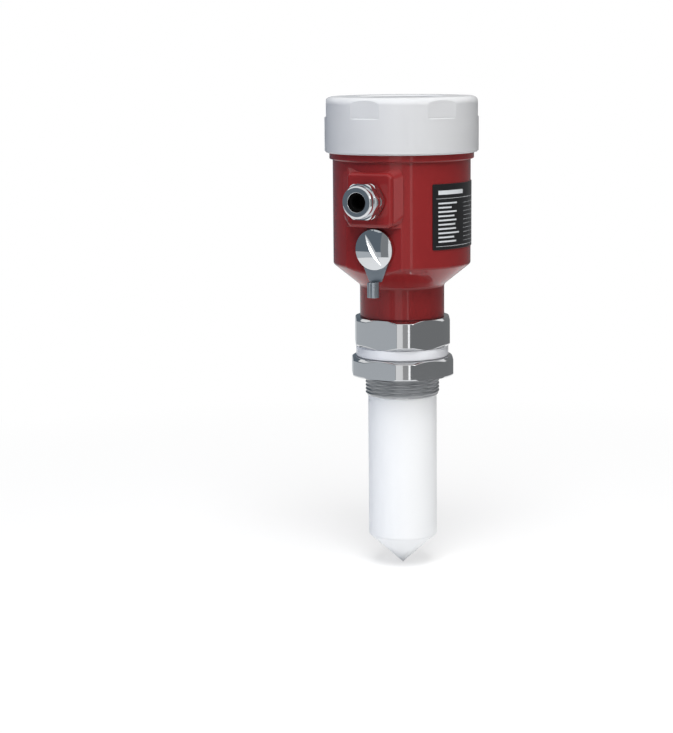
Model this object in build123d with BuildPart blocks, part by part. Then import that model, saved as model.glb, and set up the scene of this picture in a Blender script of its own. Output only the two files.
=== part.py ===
from build123d import *
import os
from math import cos, radians, sin, sqrt, tan

os.makedirs("parts", exist_ok=True)

# Radar level sensor: a cast housing with a screwed lid and window on a hexagon fitting,
# over a round plastic antenna tube.
# Millimetres. The origin is on the sensor's axis at the lower face of the lock nut, +Z up.
# The cable gland and the earth terminal point along -Y, and the nameplate faces +X.

# Clearances, all measured on the radius
running_gap = 0.06
free_gap = 0.3
seat_gap = 0.05
key_gap = 0.08

# Width of a ring's groove for each millimetre of its section
groove_width = 1.25

# Process thread, lock nut and seal ring
thread_diameter = 47.8
thread_pitch = 2.309
thread_depth = 1.48
thread_exposed = 11.1
shank_lead_in = 2.3
shank_lead_chamfer = 1.4
nut_height = 12.0
nut_wall = 8.3
nut_corner_height = 1.9
nut_chamfer_width = 2.4
nut_chamfer_height = 1.5
nut_countersink = 1.3
seal_height = 7.0
seal_inset = 0.2
seal_edge_radius = 0.8

# Hexagon of the fitting, and the spigot that the housing turns on
hex_height = 18.8
hex_wall = 6.1
hex_corner_height = 1.95
hex_chamfer_width = 1.9
hex_chamfer_height = 1.6
spigot_wall = 4.3
spigot_rise = 4.0
spigot_ring_section = 2.4
spigot_ring_heights = (5.5, 18.0)
clip_thickness = 1.5
clip_groove_depth = 1.5
clip_width = 3.6
clip_opening = 9.0
clip_ear_diameter = 4.0
clip_ear_hole = 1.6
clip_land = 0.85

# Antenna tube, horn, wave guide and microwave module
tube_inset = 1.65
tube_length = 92.6
tube_shoulder = 2.25
tube_wall = 3.5
tube_neck_length = 23.0
tube_edge_radius = 2.0
tip_height = 20.0
tip_wall = 7.0
tube_ring_section = 2.0
tube_ring_height = 6.0
horn_length = 70.0
horn_wall = 1.2
horn_flange_thickness = 2.0
guide_bore = 5.2
guide_diameter = 8.0
web_thickness = 30.0
module_height = 20.0
module_rim_height = 2.5
socket_diameter = 6.0
socket_height = 2.0
coax_diameter = 3.0

# Cast housing
neck_inset = 2.85
neck_wall = 6.15
neck_length = 20.7
cone_height = 13.6
cone_edge_radius = 1.2
neck_edge_radius = 2.0
ledge_edge_radius = 0.5
body_inset = 5.0
body_height = 66.9
ledge_inset = 2.9
ledge_height = 4.1
rim_clearance = 2.0
rim_chamfer = 1.0
rim_wall = 5.0
floor_rise = 3.5
lower_cavity_start = 8.0
shoulder_drop = 14.1
shoulder_width = 5.0
set_screw_diameter = 5.0
set_screw_height = 11.5
set_screw_socket = 2.5
set_screw_socket_depth = 2.0

# Bosses of the cable entries, and the flat of the earth terminal
entry_drop = 23.9
boss_width = 32.0
boss_above = 17.4
boss_below = 17.0
boss_rise = 2.0
boss_corner_radius = 4.0
boss_edge_radius = 1.2
flat_depth = 4.5
entry_thread_diameter = 20.0
entry_thread_inset = 0.5

# Cable gland
gasket_thickness = 1.2
gasket_inset = 0.2
gland_shoulder = 1.0
gland_corner_height = 1.1
gland_hex_length = 5.2
gland_wall = 2.3
gland_neck_inset = 1.4
gland_thread_length = 6.6
gland_nut_gap = 0.4
gland_nut_hex_length = 4.6
gland_nut_inset = 0.7
gland_nut_length = 9.6
gland_nut_lip = 1.7
gland_nut_edge_radius = 1.6
gland_hex_chamfer = 0.7
gland_seal_wall = 1.5
gland_seal_length = 8.5
gland_seal_inset = 0.8
gland_seal_flange_thickness = 1.3

# Blanking plug
plug_head_length = 5.5
plug_recess_diameter = 12.0
plug_recess_depth = 2.0

# Earth terminal
earth_clearance = 1.05
earth_offset = 1.5
earth_thread_diameter = 6.0
earth_hole_depth = 5.6
earth_screw_length = 5.0
lug_thickness = 1.2
lug_inset = 0.75
lug_shoulder_angle = 35.0
lug_throat_width = 8.5
lug_throat_length = 8.2
barrel_diameter = 7.6
barrel_bore = 4.2
barrel_length = 9.6
barrel_seam_width = 1.3
washer_diameter = 19.0
washer_thickness = 0.8
earth_head_diameter = 25.5
earth_head_rim = 1.1
earth_head_dome = 2.3
earth_slot_width = 3.0
earth_slot_depth = 2.5
earth_slot_angle = 30.0

# Nameplate
nameplate_height = 41.0
nameplate_width = 58.4
nameplate_thickness = 0.5
nameplate_base = 11.7
nameplate_corner_radius = 1.0

# Lid, window and retaining ring
lid_diameter = 98.0
lid_height = 35.1
lid_edge_radius = 4.5
lid_base_chamfer = 1.0
lid_top_thickness = 3.5
lid_skirt = 5.7
lid_top_band = 21.5
lid_notches = 6
lid_notch_half_angle = 12.0
lid_notch_depth = 12.8
window_opening_chamfer = 0.8
window_border = 5.4
window_thickness = 5.0
window_edge_chamfer = 0.4
window_gasket_thickness = 0.8
window_gasket_width = 4.5
retainer_height = 3.5
retainer_width = 3.1
retainer_slot_width = 4.0
retainer_slot_depth = 1.5
lid_ring_section = 3.0
lid_ring_rise = 2.4

# Electronics below the display
cup_wall = 2.0
cup_clearance = 2.5
cup_floor = 2.0
cup_hole = 8.0
flange_thickness = 2.5
board_thickness = 1.6
board_drop = 9.5
board_ledge = 1.6
pillar_across_flats = 5.0
pillar_inset = 8.7
terminal_plate_thickness = 2.0
terminal_count = 6
terminal_pitch = 7.0
terminal_depth = 12.0
terminal_height = 9.5
terminal_offset = 6.0
terminal_screw_diameter = 4.0
terminal_screw_sink = 2.0
terminal_screw_slot = 0.8
wire_entry_diameter = 3.6
wire_entry_depth = 6.0
carrier_wall = 2.5
carrier_foot_width = 6.6
carrier_foot_height = 2.5
carrier_ring_width = 9.6
carrier_ring_height = 3.0
carrier_leg_width = 12.0
carrier_screw_diameter = 3.0
carrier_screw_bite = 4.0
carrier_screw_head = 5.4
carrier_screw_head_height = 1.8
carrier_screw_slot = 0.8
carrier_screw_slot_depth = 0.9

# Display
display_depth = 9.9
display_clearance = 5.0
display_wall = 2.0
display_height = 20.3
face_gap = 0.45
face_wall = 1.2
face_height = 10.3
face_thickness = 2.5
face_edge_radius = 0.5
screen_side = 9.6
screen_offset = 0.5
screen_border = 1.2
screen_sink = 0.2
display_board_gap = 2.2
base_thickness = 2.0
base_ring_inset = 5.5
base_ring_wall = 2.0
key_count = 4
key_spread_angle = 39.8
key_edge = 1.97
key_space = 1.6
key_margin = 3.55
key_proud = 0.4
key_flange_width = 0.3
key_flange_height = 1.2

# Radii that follow the process thread
thread_radius = thread_diameter / 2
nut_across_flats = thread_diameter + 2 * nut_wall
nut_turned_radius = nut_across_flats / 2 + nut_corner_height
hex_across_flats = thread_diameter + 2 * hex_wall
seal_radius = hex_across_flats / 2 - seal_inset
hex_turned_radius = hex_across_flats / 2 + hex_corner_height
neck_radius = hex_across_flats / 2 - neck_inset
spigot_radius = neck_radius - neck_wall
neck_bore_radius = spigot_radius + running_gap
module_radius = spigot_radius - spigot_wall
module_bore_radius = module_radius + free_gap
guide_seat_radius = guide_diameter / 2 + seat_gap
clip_inner_radius = spigot_radius - clip_groove_depth + seat_gap
clip_outer_radius = clip_inner_radius + clip_width
floor_radius = clip_outer_radius + clip_land
tube_radius = thread_radius - tube_inset
tube_neck_radius = tube_radius - tube_shoulder
tube_bore_radius = tube_neck_radius - tube_wall
shank_bore_radius = tube_neck_radius + seat_gap

# Radii that follow the lid
lid_radius = lid_diameter / 2
lid_bore_radius = lid_radius - lid_skirt
rim_radius = lid_bore_radius - free_gap
ledge_radius = lid_radius - ledge_inset
body_radius = lid_radius - body_inset
upper_cavity_radius = rim_radius - rim_wall
lower_cavity_radius = upper_cavity_radius - shoulder_width
opening_radius = lid_radius - lid_top_band
window_radius = opening_radius + window_border
pocket_radius = window_radius + free_gap
retainer_radius = pocket_radius - seat_gap
carrier_radius = upper_cavity_radius - free_gap
carrier_screw_place = carrier_radius - carrier_screw_head / 2
cup_radius = lower_cavity_radius - free_gap
cup_bore_radius = cup_radius - cup_wall
display_radius = upper_cavity_radius - display_clearance
face_radius = retainer_radius - retainer_width - face_gap
boss_reach = body_radius + boss_rise
flat_reach = body_radius - flat_depth
entry_thread_end = upper_cavity_radius + entry_thread_inset

# Radii that follow the cable entry's thread and the head of the earth screw
entry_thread_radius = entry_thread_diameter / 2
gland_across_flats = entry_thread_diameter + 2 * gland_shoulder
gland_turned_radius = gland_across_flats / 2 + gland_corner_height
gasket_radius = gland_across_flats / 2 - gasket_inset
gland_thread_radius = entry_thread_radius - gland_neck_inset
gland_bore_radius = gland_thread_radius - gland_wall
gland_nut_radius = gland_across_flats / 2 - gland_nut_inset
seal_flange_radius = gland_thread_radius - gland_seal_inset
gland_mouth_radius = seal_flange_radius - gland_nut_lip
sleeve_radius = gland_bore_radius - free_gap
sleeve_bore_radius = sleeve_radius - gland_seal_wall
earth_head_radius = earth_head_diameter / 2
lug_radius = earth_head_radius - lug_inset
lug_throat_drop = lug_radius + lug_throat_length

# Levels along the axis, from the lock nut upwards
z_thread_end = -thread_exposed
z_shank_end = z_thread_end - shank_lead_in
z_seal_bottom = nut_height
z_hex_bottom = z_seal_bottom + seal_height
z_hex_top = z_hex_bottom + hex_height
z_cone_bottom = z_hex_top + neck_length
z_body_bottom = z_cone_bottom + cone_height
z_body_top = z_body_bottom + body_height
z_lid_bottom = z_body_top + ledge_height
z_lid_top = z_lid_bottom + lid_height
z_floor = z_cone_bottom + floor_rise
z_spigot_top = z_floor + spigot_rise
z_lower_cavity = z_floor + lower_cavity_start
z_entry = z_body_top - entry_drop
z_shoulder = z_entry - shoulder_drop
z_boss_bottom = z_entry - boss_below
z_earth = z_boss_bottom - earth_clearance - earth_head_radius

# Levels inside the fitting
z_neck_top = z_shank_end + tube_neck_length
z_web_bottom = z_neck_top + free_gap
z_web_top = z_web_bottom + web_thickness
z_module_top = z_web_top + module_height
z_socket_top = z_module_top + socket_height

# Levels of the electronics, upwards from the shoulder in the housing
z_cup_bottom = z_lower_cavity + cup_clearance
z_flange_top = z_shoulder + flange_thickness
z_board = z_flange_top - board_drop
z_board_top = z_board + board_thickness
z_terminal_plate = z_flange_top - terminal_plate_thickness
z_foot_top = z_flange_top + carrier_foot_height

# Levels of the display and the window, downwards from the lid's top
z_face = z_lid_top - display_depth
z_display_bottom = z_face - display_height
z_face_underside = z_face - face_thickness
z_display_shoulder = z_face - face_height
z_display_board_top = z_face_underside - display_board_gap
z_display_board = z_display_board_top - board_thickness
z_gasket_top = z_lid_top - lid_top_thickness
z_glass_top = z_gasket_top - window_gasket_thickness
z_glass_bottom = z_glass_top - window_thickness
z_retainer_bottom = z_glass_bottom - retainer_height
z_collar_bottom = z_retainer_bottom - free_gap
z_rim_top = z_collar_bottom - rim_clearance

# Keys on a circle that follows the round face of the display, and the screen above them
key_share = sin(radians(key_spread_angle)) / (key_count - 1)
key_circle_radius = (face_radius - key_edge + key_space / 2) / (1 + key_share)
key_pitch = 2 * key_circle_radius * key_share
key_radius = (key_pitch - key_space) / 2
key_row = key_circle_radius * cos(radians(key_spread_angle))
screen_width = 2 * (face_radius - screen_side)
screen_height = 2 * (screen_offset + key_row - key_radius - key_margin)

# Axes and planes away from the sensor's own axis
gland_axis = Axis((0, 0, z_entry), (0, -1, 0))
plug_axis = Axis((0, 0, z_entry), (0, 1, 0))
earth_axis = Axis((earth_offset, 0, z_earth), (0, -1, 0))
set_screw_axis = Axis((0, 0, z_hex_top + set_screw_height), (0, 1, 0))


def section_plane(axis):
    """Plane whose x runs up from a level axis, and whose y runs along that axis."""
    upward = Vector(0, 0, 1)
    return Plane(origin=axis.position, x_dir=upward, z_dir=upward.cross(axis.direction))


def across_plane(axis, distance):
    """Plane square to a level axis, at a distance from the sensor's axis, with its y upwards."""
    return Plane(
        origin=axis.position + axis.direction * distance,
        x_dir=Vector(0, 0, 1).cross(axis.direction),
        z_dir=axis.direction,
    )


def half_section(points, plane=Plane.XZ, rounded=()):
    """Closed half section of a turned piece, from points of radius and height.

    Each entry of rounded names a corner by its radius and height, then the size of its rounding.
    """
    with BuildSketch(plane) as section:
        with BuildLine():
            Polyline(*points, close=True)
        make_face()
        for radius, height, size in rounded:
            corner = section.vertices().sort_by_distance((radius, height, 0))[0]
            fillet(corner, size)
    return section.sketch


def ring_section(inner, outer, low, high, plane=Plane.XZ):
    """Half section of a plain ring."""
    return half_section([(inner, low), (outer, low), (outer, high), (inner, high)], plane)


def hexagon_waste(plane, across_flats, turned_radius):
    """What is milled off a turned blank to leave a hexagon, flats across the plane's y."""
    with BuildSketch(plane) as waste:
        Circle(2 * turned_radius)
        RegularPolygon(across_flats / 2, 6, major_radius=False, mode=Mode.SUBTRACT)
    return waste.sketch


def slot_section(plane, length, width, angle=0.0):
    """Rectangle of a driver slot across a screw head."""
    with BuildSketch(plane) as slot:
        Rectangle(length, width, rotation=angle)
    return slot.sketch


# Process fitting: threaded shank, hexagon and spigot in one turned piece
with BuildPart() as process_fitting:
    clip_groove_radius = spigot_radius - clip_groove_depth
    revolve(
        half_section(
            [
                (shank_bore_radius, z_shank_end),
                (thread_radius - shank_lead_chamfer, z_shank_end),
                (thread_radius, z_thread_end),
                (thread_radius, 0),
                (thread_radius - thread_depth, thread_pitch / 2),
                (thread_radius, thread_pitch),
                (thread_radius, z_hex_bottom),
                (hex_turned_radius - hex_chamfer_width, z_hex_bottom),
                (hex_turned_radius, z_hex_bottom + hex_chamfer_height),
                (hex_turned_radius, z_hex_top - hex_chamfer_height),
                (hex_turned_radius - hex_chamfer_width, z_hex_top),
                (spigot_radius, z_hex_top),
                (spigot_radius, z_floor),
                (clip_groove_radius, z_floor),
                (clip_groove_radius, z_floor + clip_thickness),
                (spigot_radius, z_floor + clip_thickness),
                (spigot_radius, z_spigot_top),
                (module_bore_radius, z_spigot_top),
                (module_bore_radius, z_web_top),
                (guide_seat_radius, z_web_top),
                (guide_seat_radius, z_web_bottom),
                (shank_bore_radius, z_web_bottom),
            ]
        ),
        axis=Axis.Z,
    )
    extrude(
        hexagon_waste(Plane.XY.offset(z_hex_bottom), hex_across_flats, hex_turned_radius),
        amount=hex_height,
        mode=Mode.SUBTRACT,
    )
    for ring_height in spigot_ring_heights:
        groove_middle = z_hex_top + ring_height
        revolve(
            ring_section(
                neck_bore_radius - spigot_ring_section - 2 * running_gap,
                neck_bore_radius,
                groove_middle - spigot_ring_section * groove_width / 2,
                groove_middle + spigot_ring_section * groove_width / 2,
            ),
            axis=Axis.Z,
            mode=Mode.SUBTRACT,
        )
process_fitting.part.label = "process_fitting"
export_step(process_fitting.part, "parts/process_fitting.step")

# Two round rings that seal the spigot in the housing's neck
with BuildPart() as spigot_o_rings:
    for ring_height in spigot_ring_heights:
        with Locations((0, 0, z_hex_top + ring_height)):
            Torus(
                neck_bore_radius - running_gap - spigot_ring_section / 2,
                spigot_ring_section / 2,
            )
spigot_o_rings.part.label = "spigot_o_rings"
export_step(spigot_o_rings.part, "parts/spigot_o_rings.step")

# Open ring with two eared ends that keeps the housing on the spigot
with BuildPart() as spigot_clip:
    ear_middle = clip_outer_radius - clip_ear_diameter / 2
    with BuildSketch(Plane.XY.offset(z_floor)):
        Circle(clip_outer_radius)
        Circle(clip_inner_radius, mode=Mode.SUBTRACT)
        with Locations((clip_outer_radius, 0)):
            Rectangle(2 * clip_width + clip_outer_radius, clip_opening, mode=Mode.SUBTRACT)
        with Locations((ear_middle, clip_opening / 2), (ear_middle, -clip_opening / 2)):
            Circle(clip_ear_diameter / 2)
            Circle(clip_ear_hole / 2, mode=Mode.SUBTRACT)
    extrude(amount=clip_thickness)
spigot_clip.part.label = "spigot_clip"
export_step(spigot_clip.part, "parts/spigot_clip.step")

# Closed plastic tube with a conical tip, held by its neck in the shank
with BuildPart() as antenna_tube:
    z_tube_end = z_shank_end - tube_length
    z_tip = z_tube_end - tip_height
    ring_middle = z_shank_end + tube_ring_height
    revolve(
        half_section(
            [
                (0, z_tip),
                (tube_radius, z_tube_end),
                (tube_radius, z_shank_end),
                (tube_neck_radius, z_shank_end),
                (tube_neck_radius, z_neck_top),
                (tube_bore_radius, z_neck_top),
                (tube_bore_radius, z_tube_end),
                (0, z_tip + tip_wall),
            ],
            rounded=[(tube_radius, z_tube_end, tube_edge_radius)],
        ),
        axis=Axis.Z,
    )
    revolve(
        ring_section(
            shank_bore_radius - tube_ring_section - 2 * seat_gap,
            shank_bore_radius,
            ring_middle - tube_ring_section * groove_width / 2,
            ring_middle + tube_ring_section * groove_width / 2,
        ),
        axis=Axis.Z,
        mode=Mode.SUBTRACT,
    )
antenna_tube.part.label = "antenna_tube"
export_step(antenna_tube.part, "parts/antenna_tube.step")

# Round ring that seals the tube's neck in the shank
with BuildPart() as antenna_o_ring:
    with Locations((0, 0, z_shank_end + tube_ring_height)):
        Torus(shank_bore_radius - seat_gap - tube_ring_section / 2, tube_ring_section / 2)
antenna_o_ring.part.label = "antenna_o_ring"
export_step(antenna_o_ring.part, "parts/antenna_o_ring.step")

# Horn that opens downwards inside the tube, with a flange against the web of the shank
with BuildPart() as horn_antenna:
    horn_radius = tube_bore_radius - free_gap
    guide_bore_radius = guide_bore / 2
    z_flange_bottom = z_web_bottom - horn_flange_thickness
    z_mouth = z_web_bottom - horn_length
    revolve(
        half_section(
            [
                (guide_bore_radius, z_web_bottom),
                (horn_radius, z_web_bottom),
                (horn_radius, z_flange_bottom),
                (guide_bore_radius + 2 * horn_wall, z_flange_bottom),
                (horn_radius, z_mouth),
                (horn_radius - horn_wall, z_mouth),
                (guide_bore_radius, z_flange_bottom),
            ]
        ),
        axis=Axis.Z,
    )
horn_antenna.part.label = "horn_antenna"
export_step(horn_antenna.part, "parts/horn_antenna.step")

# Wave guide between the horn and the microwave module
with BuildPart() as wave_guide:
    revolve(
        ring_section(guide_bore / 2, guide_diameter / 2, z_web_bottom, z_web_top),
        axis=Axis.Z,
    )
wave_guide.part.label = "wave_guide"
export_step(wave_guide.part, "parts/wave_guide.step")

# Round can of the microwave module, with its cable socket
with BuildPart() as microwave_module:
    z_module_rim = z_module_top - module_rim_height
    revolve(
        half_section(
            [
                (0, z_web_top),
                (module_radius - seat_gap, z_web_top),
                (module_radius - seat_gap, z_module_rim),
                (module_radius, z_module_rim),
                (module_radius, z_module_top),
                (socket_diameter / 2, z_module_top),
                (socket_diameter / 2, z_socket_top),
                (0, z_socket_top),
            ]
        ),
        axis=Axis.Z,
    )
microwave_module.part.label = "microwave_module"
export_step(microwave_module.part, "parts/microwave_module.step")

# Coaxial cable from the module to the board, on the axis that the housing turns about
with BuildPart() as coax_cable:
    revolve(
        half_section(
            [
                (0, z_socket_top),
                (coax_diameter / 2, z_socket_top),
                (coax_diameter / 2, z_board - free_gap),
                (0, z_board - free_gap),
            ]
        ),
        axis=Axis.Z,
    )
coax_cable.part.label = "coax_cable"
export_step(coax_cable.part, "parts/coax_cable.step")

# White ring between the hexagon and the lock nut
with BuildPart() as seal_ring:
    seal_bore_radius = thread_radius + free_gap
    revolve(
        half_section(
            [
                (seal_bore_radius, z_seal_bottom),
                (seal_radius, z_seal_bottom),
                (seal_radius, z_hex_bottom),
                (seal_bore_radius, z_hex_bottom),
            ],
            rounded=[
                (seal_radius, z_seal_bottom, seal_edge_radius),
                (seal_radius, z_hex_bottom, seal_edge_radius),
            ],
        ),
        axis=Axis.Z,
    )
seal_ring.part.label = "seal_ring"
export_step(seal_ring.part, "parts/seal_ring.step")

# Lock nut on the process thread
with BuildPart() as lock_nut:
    nut_bore_radius = thread_radius + running_gap
    revolve(
        half_section(
            [
                (nut_bore_radius + nut_countersink, 0),
                (nut_turned_radius - nut_chamfer_width / 4, 0),
                (nut_turned_radius, nut_chamfer_height / 2),
                (nut_turned_radius, nut_height - nut_chamfer_height),
                (nut_turned_radius - nut_chamfer_width, nut_height),
                (nut_bore_radius + nut_countersink, nut_height),
                (nut_bore_radius, nut_height - nut_countersink),
                (nut_bore_radius, nut_countersink),
            ]
        ),
        axis=Axis.Z,
    )
    extrude(
        hexagon_waste(Plane.XY, nut_across_flats, nut_turned_radius),
        amount=nut_height,
        mode=Mode.SUBTRACT,
    )
lock_nut.part.label = "lock_nut"
export_step(lock_nut.part, "parts/lock_nut.step")

# Cast housing: neck, cone, drum, ledge and threaded rim, with two bosses and one flat
with BuildPart() as housing:
    revolve(
        half_section(
            [
                (0, z_hex_top),
                (neck_radius, z_hex_top),
                (neck_radius, z_cone_bottom),
                (body_radius, z_body_bottom),
                (body_radius, z_body_top),
                (ledge_radius, z_body_top),
                (ledge_radius, z_lid_bottom),
                (rim_radius, z_lid_bottom),
                (rim_radius, z_rim_top - rim_chamfer),
                (rim_radius - rim_chamfer, z_rim_top),
                (0, z_rim_top),
            ],
            rounded=[
                (body_radius, z_body_bottom, cone_edge_radius),
                (neck_radius, z_cone_bottom, neck_edge_radius),
                (ledge_radius, z_body_top, ledge_edge_radius),
            ],
        ),
        axis=Axis.Z,
    )
    boss_middle = (boss_above - boss_below) / 2
    boss_height = boss_above + boss_below
    for entry_axis in (gland_axis, plug_axis):
        with BuildSketch(across_plane(entry_axis, boss_reach)):
            with Locations((0, boss_middle)):
                RectangleRounded(boss_width, boss_height, boss_corner_radius)
        extrude(amount=upper_cavity_radius / 2 - boss_reach)
        boss_face = housing.faces().sort_by(entry_axis)[-1]
        fillet(boss_face.edges(), boss_edge_radius)
    with BuildSketch(Plane.XY.offset(z_cone_bottom)):
        with Locations((0, -flat_reach - body_radius / 2)):
            Rectangle(2 * body_radius, body_radius)
    extrude(amount=z_boss_bottom - z_cone_bottom, mode=Mode.SUBTRACT)
    revolve(
        half_section(
            [
                (0, z_hex_top),
                (neck_bore_radius, z_hex_top),
                (neck_bore_radius, z_floor),
                (floor_radius, z_floor),
                (lower_cavity_radius, z_lower_cavity),
                (lower_cavity_radius, z_shoulder),
                (upper_cavity_radius, z_shoulder),
                (upper_cavity_radius, z_rim_top),
                (0, z_rim_top),
            ]
        ),
        axis=Axis.Z,
        mode=Mode.SUBTRACT,
    )
    for entry_axis in (gland_axis, plug_axis):
        revolve(
            ring_section(
                0,
                entry_thread_radius + seat_gap,
                upper_cavity_radius / 2,
                boss_reach,
                section_plane(entry_axis),
            ),
            axis=entry_axis,
            mode=Mode.SUBTRACT,
        )
    revolve(
        ring_section(
            0,
            earth_thread_diameter / 2 + running_gap,
            flat_reach - earth_hole_depth,
            flat_reach,
            section_plane(earth_axis),
        ),
        axis=earth_axis,
        mode=Mode.SUBTRACT,
    )
    revolve(
        ring_section(
            0,
            set_screw_diameter / 2 + seat_gap,
            spigot_radius,
            neck_radius,
            section_plane(set_screw_axis),
        ),
        axis=set_screw_axis,
        mode=Mode.SUBTRACT,
    )
    lid_ring_middle = z_lid_bottom + lid_ring_rise
    revolve(
        ring_section(
            lid_bore_radius - running_gap - lid_ring_section - seat_gap,
            lid_bore_radius,
            lid_ring_middle - lid_ring_section * groove_width / 2,
            lid_ring_middle + lid_ring_section * groove_width / 2,
        ),
        axis=Axis.Z,
        mode=Mode.SUBTRACT,
    )
    with BuildSketch(Plane.XY.offset(z_shoulder)):
        with PolarLocations(carrier_screw_place, 4):
            Circle(carrier_screw_diameter / 2 + seat_gap)
    extrude(amount=-carrier_screw_bite - free_gap, mode=Mode.SUBTRACT)
housing.part.label = "housing"
export_step(housing.part, "parts/housing.step")

# Flat ring under the gland's hexagon
with BuildPart() as gland_gasket:
    gland_base = boss_reach + gasket_thickness
    revolve(
        ring_section(
            entry_thread_radius + seat_gap,
            gasket_radius,
            boss_reach,
            gland_base,
            section_plane(gland_axis),
        ),
        axis=gland_axis,
    )
gland_gasket.part.label = "gland_gasket"
export_step(gland_gasket.part, "parts/gland_gasket.step")

# Gland body: thread into the boss, hexagon, and thread for the nut
with BuildPart() as gland_body:
    gland_hex_end = gland_base + gland_hex_length
    gland_mouth = gland_hex_end + gland_thread_length
    revolve(
        half_section(
            [
                (gland_bore_radius, entry_thread_end),
                (entry_thread_radius, entry_thread_end),
                (entry_thread_radius, gland_base),
                (gland_turned_radius - gland_hex_chamfer, gland_base),
                (gland_turned_radius, gland_base + gland_hex_chamfer),
                (gland_turned_radius, gland_hex_end - gland_hex_chamfer),
                (gland_turned_radius - gland_hex_chamfer, gland_hex_end),
                (gland_thread_radius, gland_hex_end),
                (gland_thread_radius, gland_mouth),
                (gland_bore_radius, gland_mouth),
            ],
            section_plane(gland_axis),
        ),
        axis=gland_axis,
    )
    extrude(
        hexagon_waste(
            across_plane(gland_axis, gland_base), gland_across_flats, gland_turned_radius
        ),
        amount=gland_hex_length,
        mode=Mode.SUBTRACT,
    )
gland_body.part.label = "gland_body"
export_step(gland_body.part, "parts/gland_body.step")

# Rubber sleeve that the nut presses round the cable
with BuildPart() as gland_seal:
    seal_front = gland_mouth + gland_seal_flange_thickness
    revolve(
        half_section(
            [
                (sleeve_bore_radius, gland_mouth - gland_seal_length),
                (sleeve_radius, gland_mouth - gland_seal_length),
                (sleeve_radius, gland_mouth),
                (seal_flange_radius, gland_mouth),
                (seal_flange_radius, seal_front),
                (sleeve_bore_radius, seal_front),
            ],
            section_plane(gland_axis),
        ),
        axis=gland_axis,
    )
gland_seal.part.label = "gland_seal"
export_step(gland_seal.part, "parts/gland_seal.step")

# Gland nut: hexagon with a round dome in front
with BuildPart() as gland_nut:
    nut_start = gland_hex_end + gland_nut_gap
    nut_hex_end = nut_start + gland_nut_hex_length
    nut_front = nut_start + gland_nut_length
    revolve(
        half_section(
            [
                (gland_thread_radius + running_gap, nut_start),
                (gland_turned_radius - gland_hex_chamfer, nut_start),
                (gland_turned_radius, nut_start + gland_hex_chamfer),
                (gland_turned_radius, nut_hex_end - gland_hex_chamfer),
                (gland_turned_radius - gland_hex_chamfer, nut_hex_end),
                (gland_nut_radius, nut_hex_end),
                (gland_nut_radius, nut_front),
                (gland_mouth_radius, nut_front),
                (gland_mouth_radius, seal_front),
                (gland_thread_radius + running_gap, seal_front),
            ],
            section_plane(gland_axis),
            rounded=[(gland_nut_radius, nut_front, gland_nut_edge_radius)],
        ),
        axis=gland_axis,
    )
    extrude(
        hexagon_waste(
            across_plane(gland_axis, nut_start), gland_across_flats, gland_turned_radius
        ),
        amount=gland_nut_hex_length,
        mode=Mode.SUBTRACT,
    )
gland_nut.part.label = "gland_nut"
export_step(gland_nut.part, "parts/gland_nut.step")

# Flat ring under the blanking plug
with BuildPart() as plug_gasket:
    revolve(
        ring_section(
            entry_thread_radius + seat_gap,
            gasket_radius,
            boss_reach,
            gland_base,
            section_plane(plug_axis),
        ),
        axis=plug_axis,
    )
plug_gasket.part.label = "plug_gasket"
export_step(plug_gasket.part, "parts/plug_gasket.step")

# Plug in the unused cable entry at the back
with BuildPart() as blanking_plug:
    plug_front = gland_base + plug_head_length
    revolve(
        half_section(
            [
                (0, entry_thread_end),
                (entry_thread_radius, entry_thread_end),
                (entry_thread_radius, gland_base),
                (gland_turned_radius - gland_hex_chamfer, gland_base),
                (gland_turned_radius, gland_base + gland_hex_chamfer),
                (gland_turned_radius, plug_front - gland_hex_chamfer),
                (gland_turned_radius - gland_hex_chamfer, plug_front),
                (plug_recess_diameter / 2, plug_front),
                (plug_recess_diameter / 2, plug_front - plug_recess_depth),
                (0, plug_front - plug_recess_depth),
            ],
            section_plane(plug_axis),
        ),
        axis=plug_axis,
    )
    extrude(
        hexagon_waste(
            across_plane(plug_axis, gland_base), gland_across_flats, gland_turned_radius
        ),
        amount=plug_head_length,
        mode=Mode.SUBTRACT,
    )
blanking_plug.part.label = "blanking_plug"
export_step(blanking_plug.part, "parts/blanking_plug.step")

# Earth cable lug: a plate that tapers from its ring to a crimp barrel with a rolled seam
with BuildPart() as earth_lug:
    lug_front = flat_reach + lug_thickness
    barrel_radius = barrel_diameter / 2
    shoulder_x = lug_radius * cos(radians(lug_shoulder_angle))
    shoulder_y = lug_radius * sin(radians(lug_shoulder_angle))
    with BuildSketch(across_plane(earth_axis, flat_reach)):
        with BuildLine():
            Polyline(
                (-shoulder_x, -shoulder_y),
                (-lug_throat_width / 2, -lug_throat_drop),
                (lug_throat_width / 2, -lug_throat_drop),
                (shoulder_x, -shoulder_y),
                close=True,
            )
        make_face()
        Circle(lug_radius)
        Circle(earth_thread_diameter / 2 + free_gap, mode=Mode.SUBTRACT)
    extrude(amount=lug_thickness)
    barrel_middle = flat_reach + barrel_radius
    barrel_top = z_earth - lug_throat_drop
    barrel_place = (earth_offset, -barrel_middle, barrel_top)
    with BuildSketch(Plane(barrel_place, x_dir=(1, 0, 0), z_dir=(0, 0, -1))):
        Circle(barrel_radius)
        Circle(barrel_bore / 2, mode=Mode.SUBTRACT)
        with Locations((0, barrel_radius)):
            Rectangle(barrel_seam_width, barrel_seam_width, rotation=45, mode=Mode.SUBTRACT)
    extrude(amount=barrel_length)
earth_lug.part.label = "earth_lug"
export_step(earth_lug.part, "parts/earth_lug.step")

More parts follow.
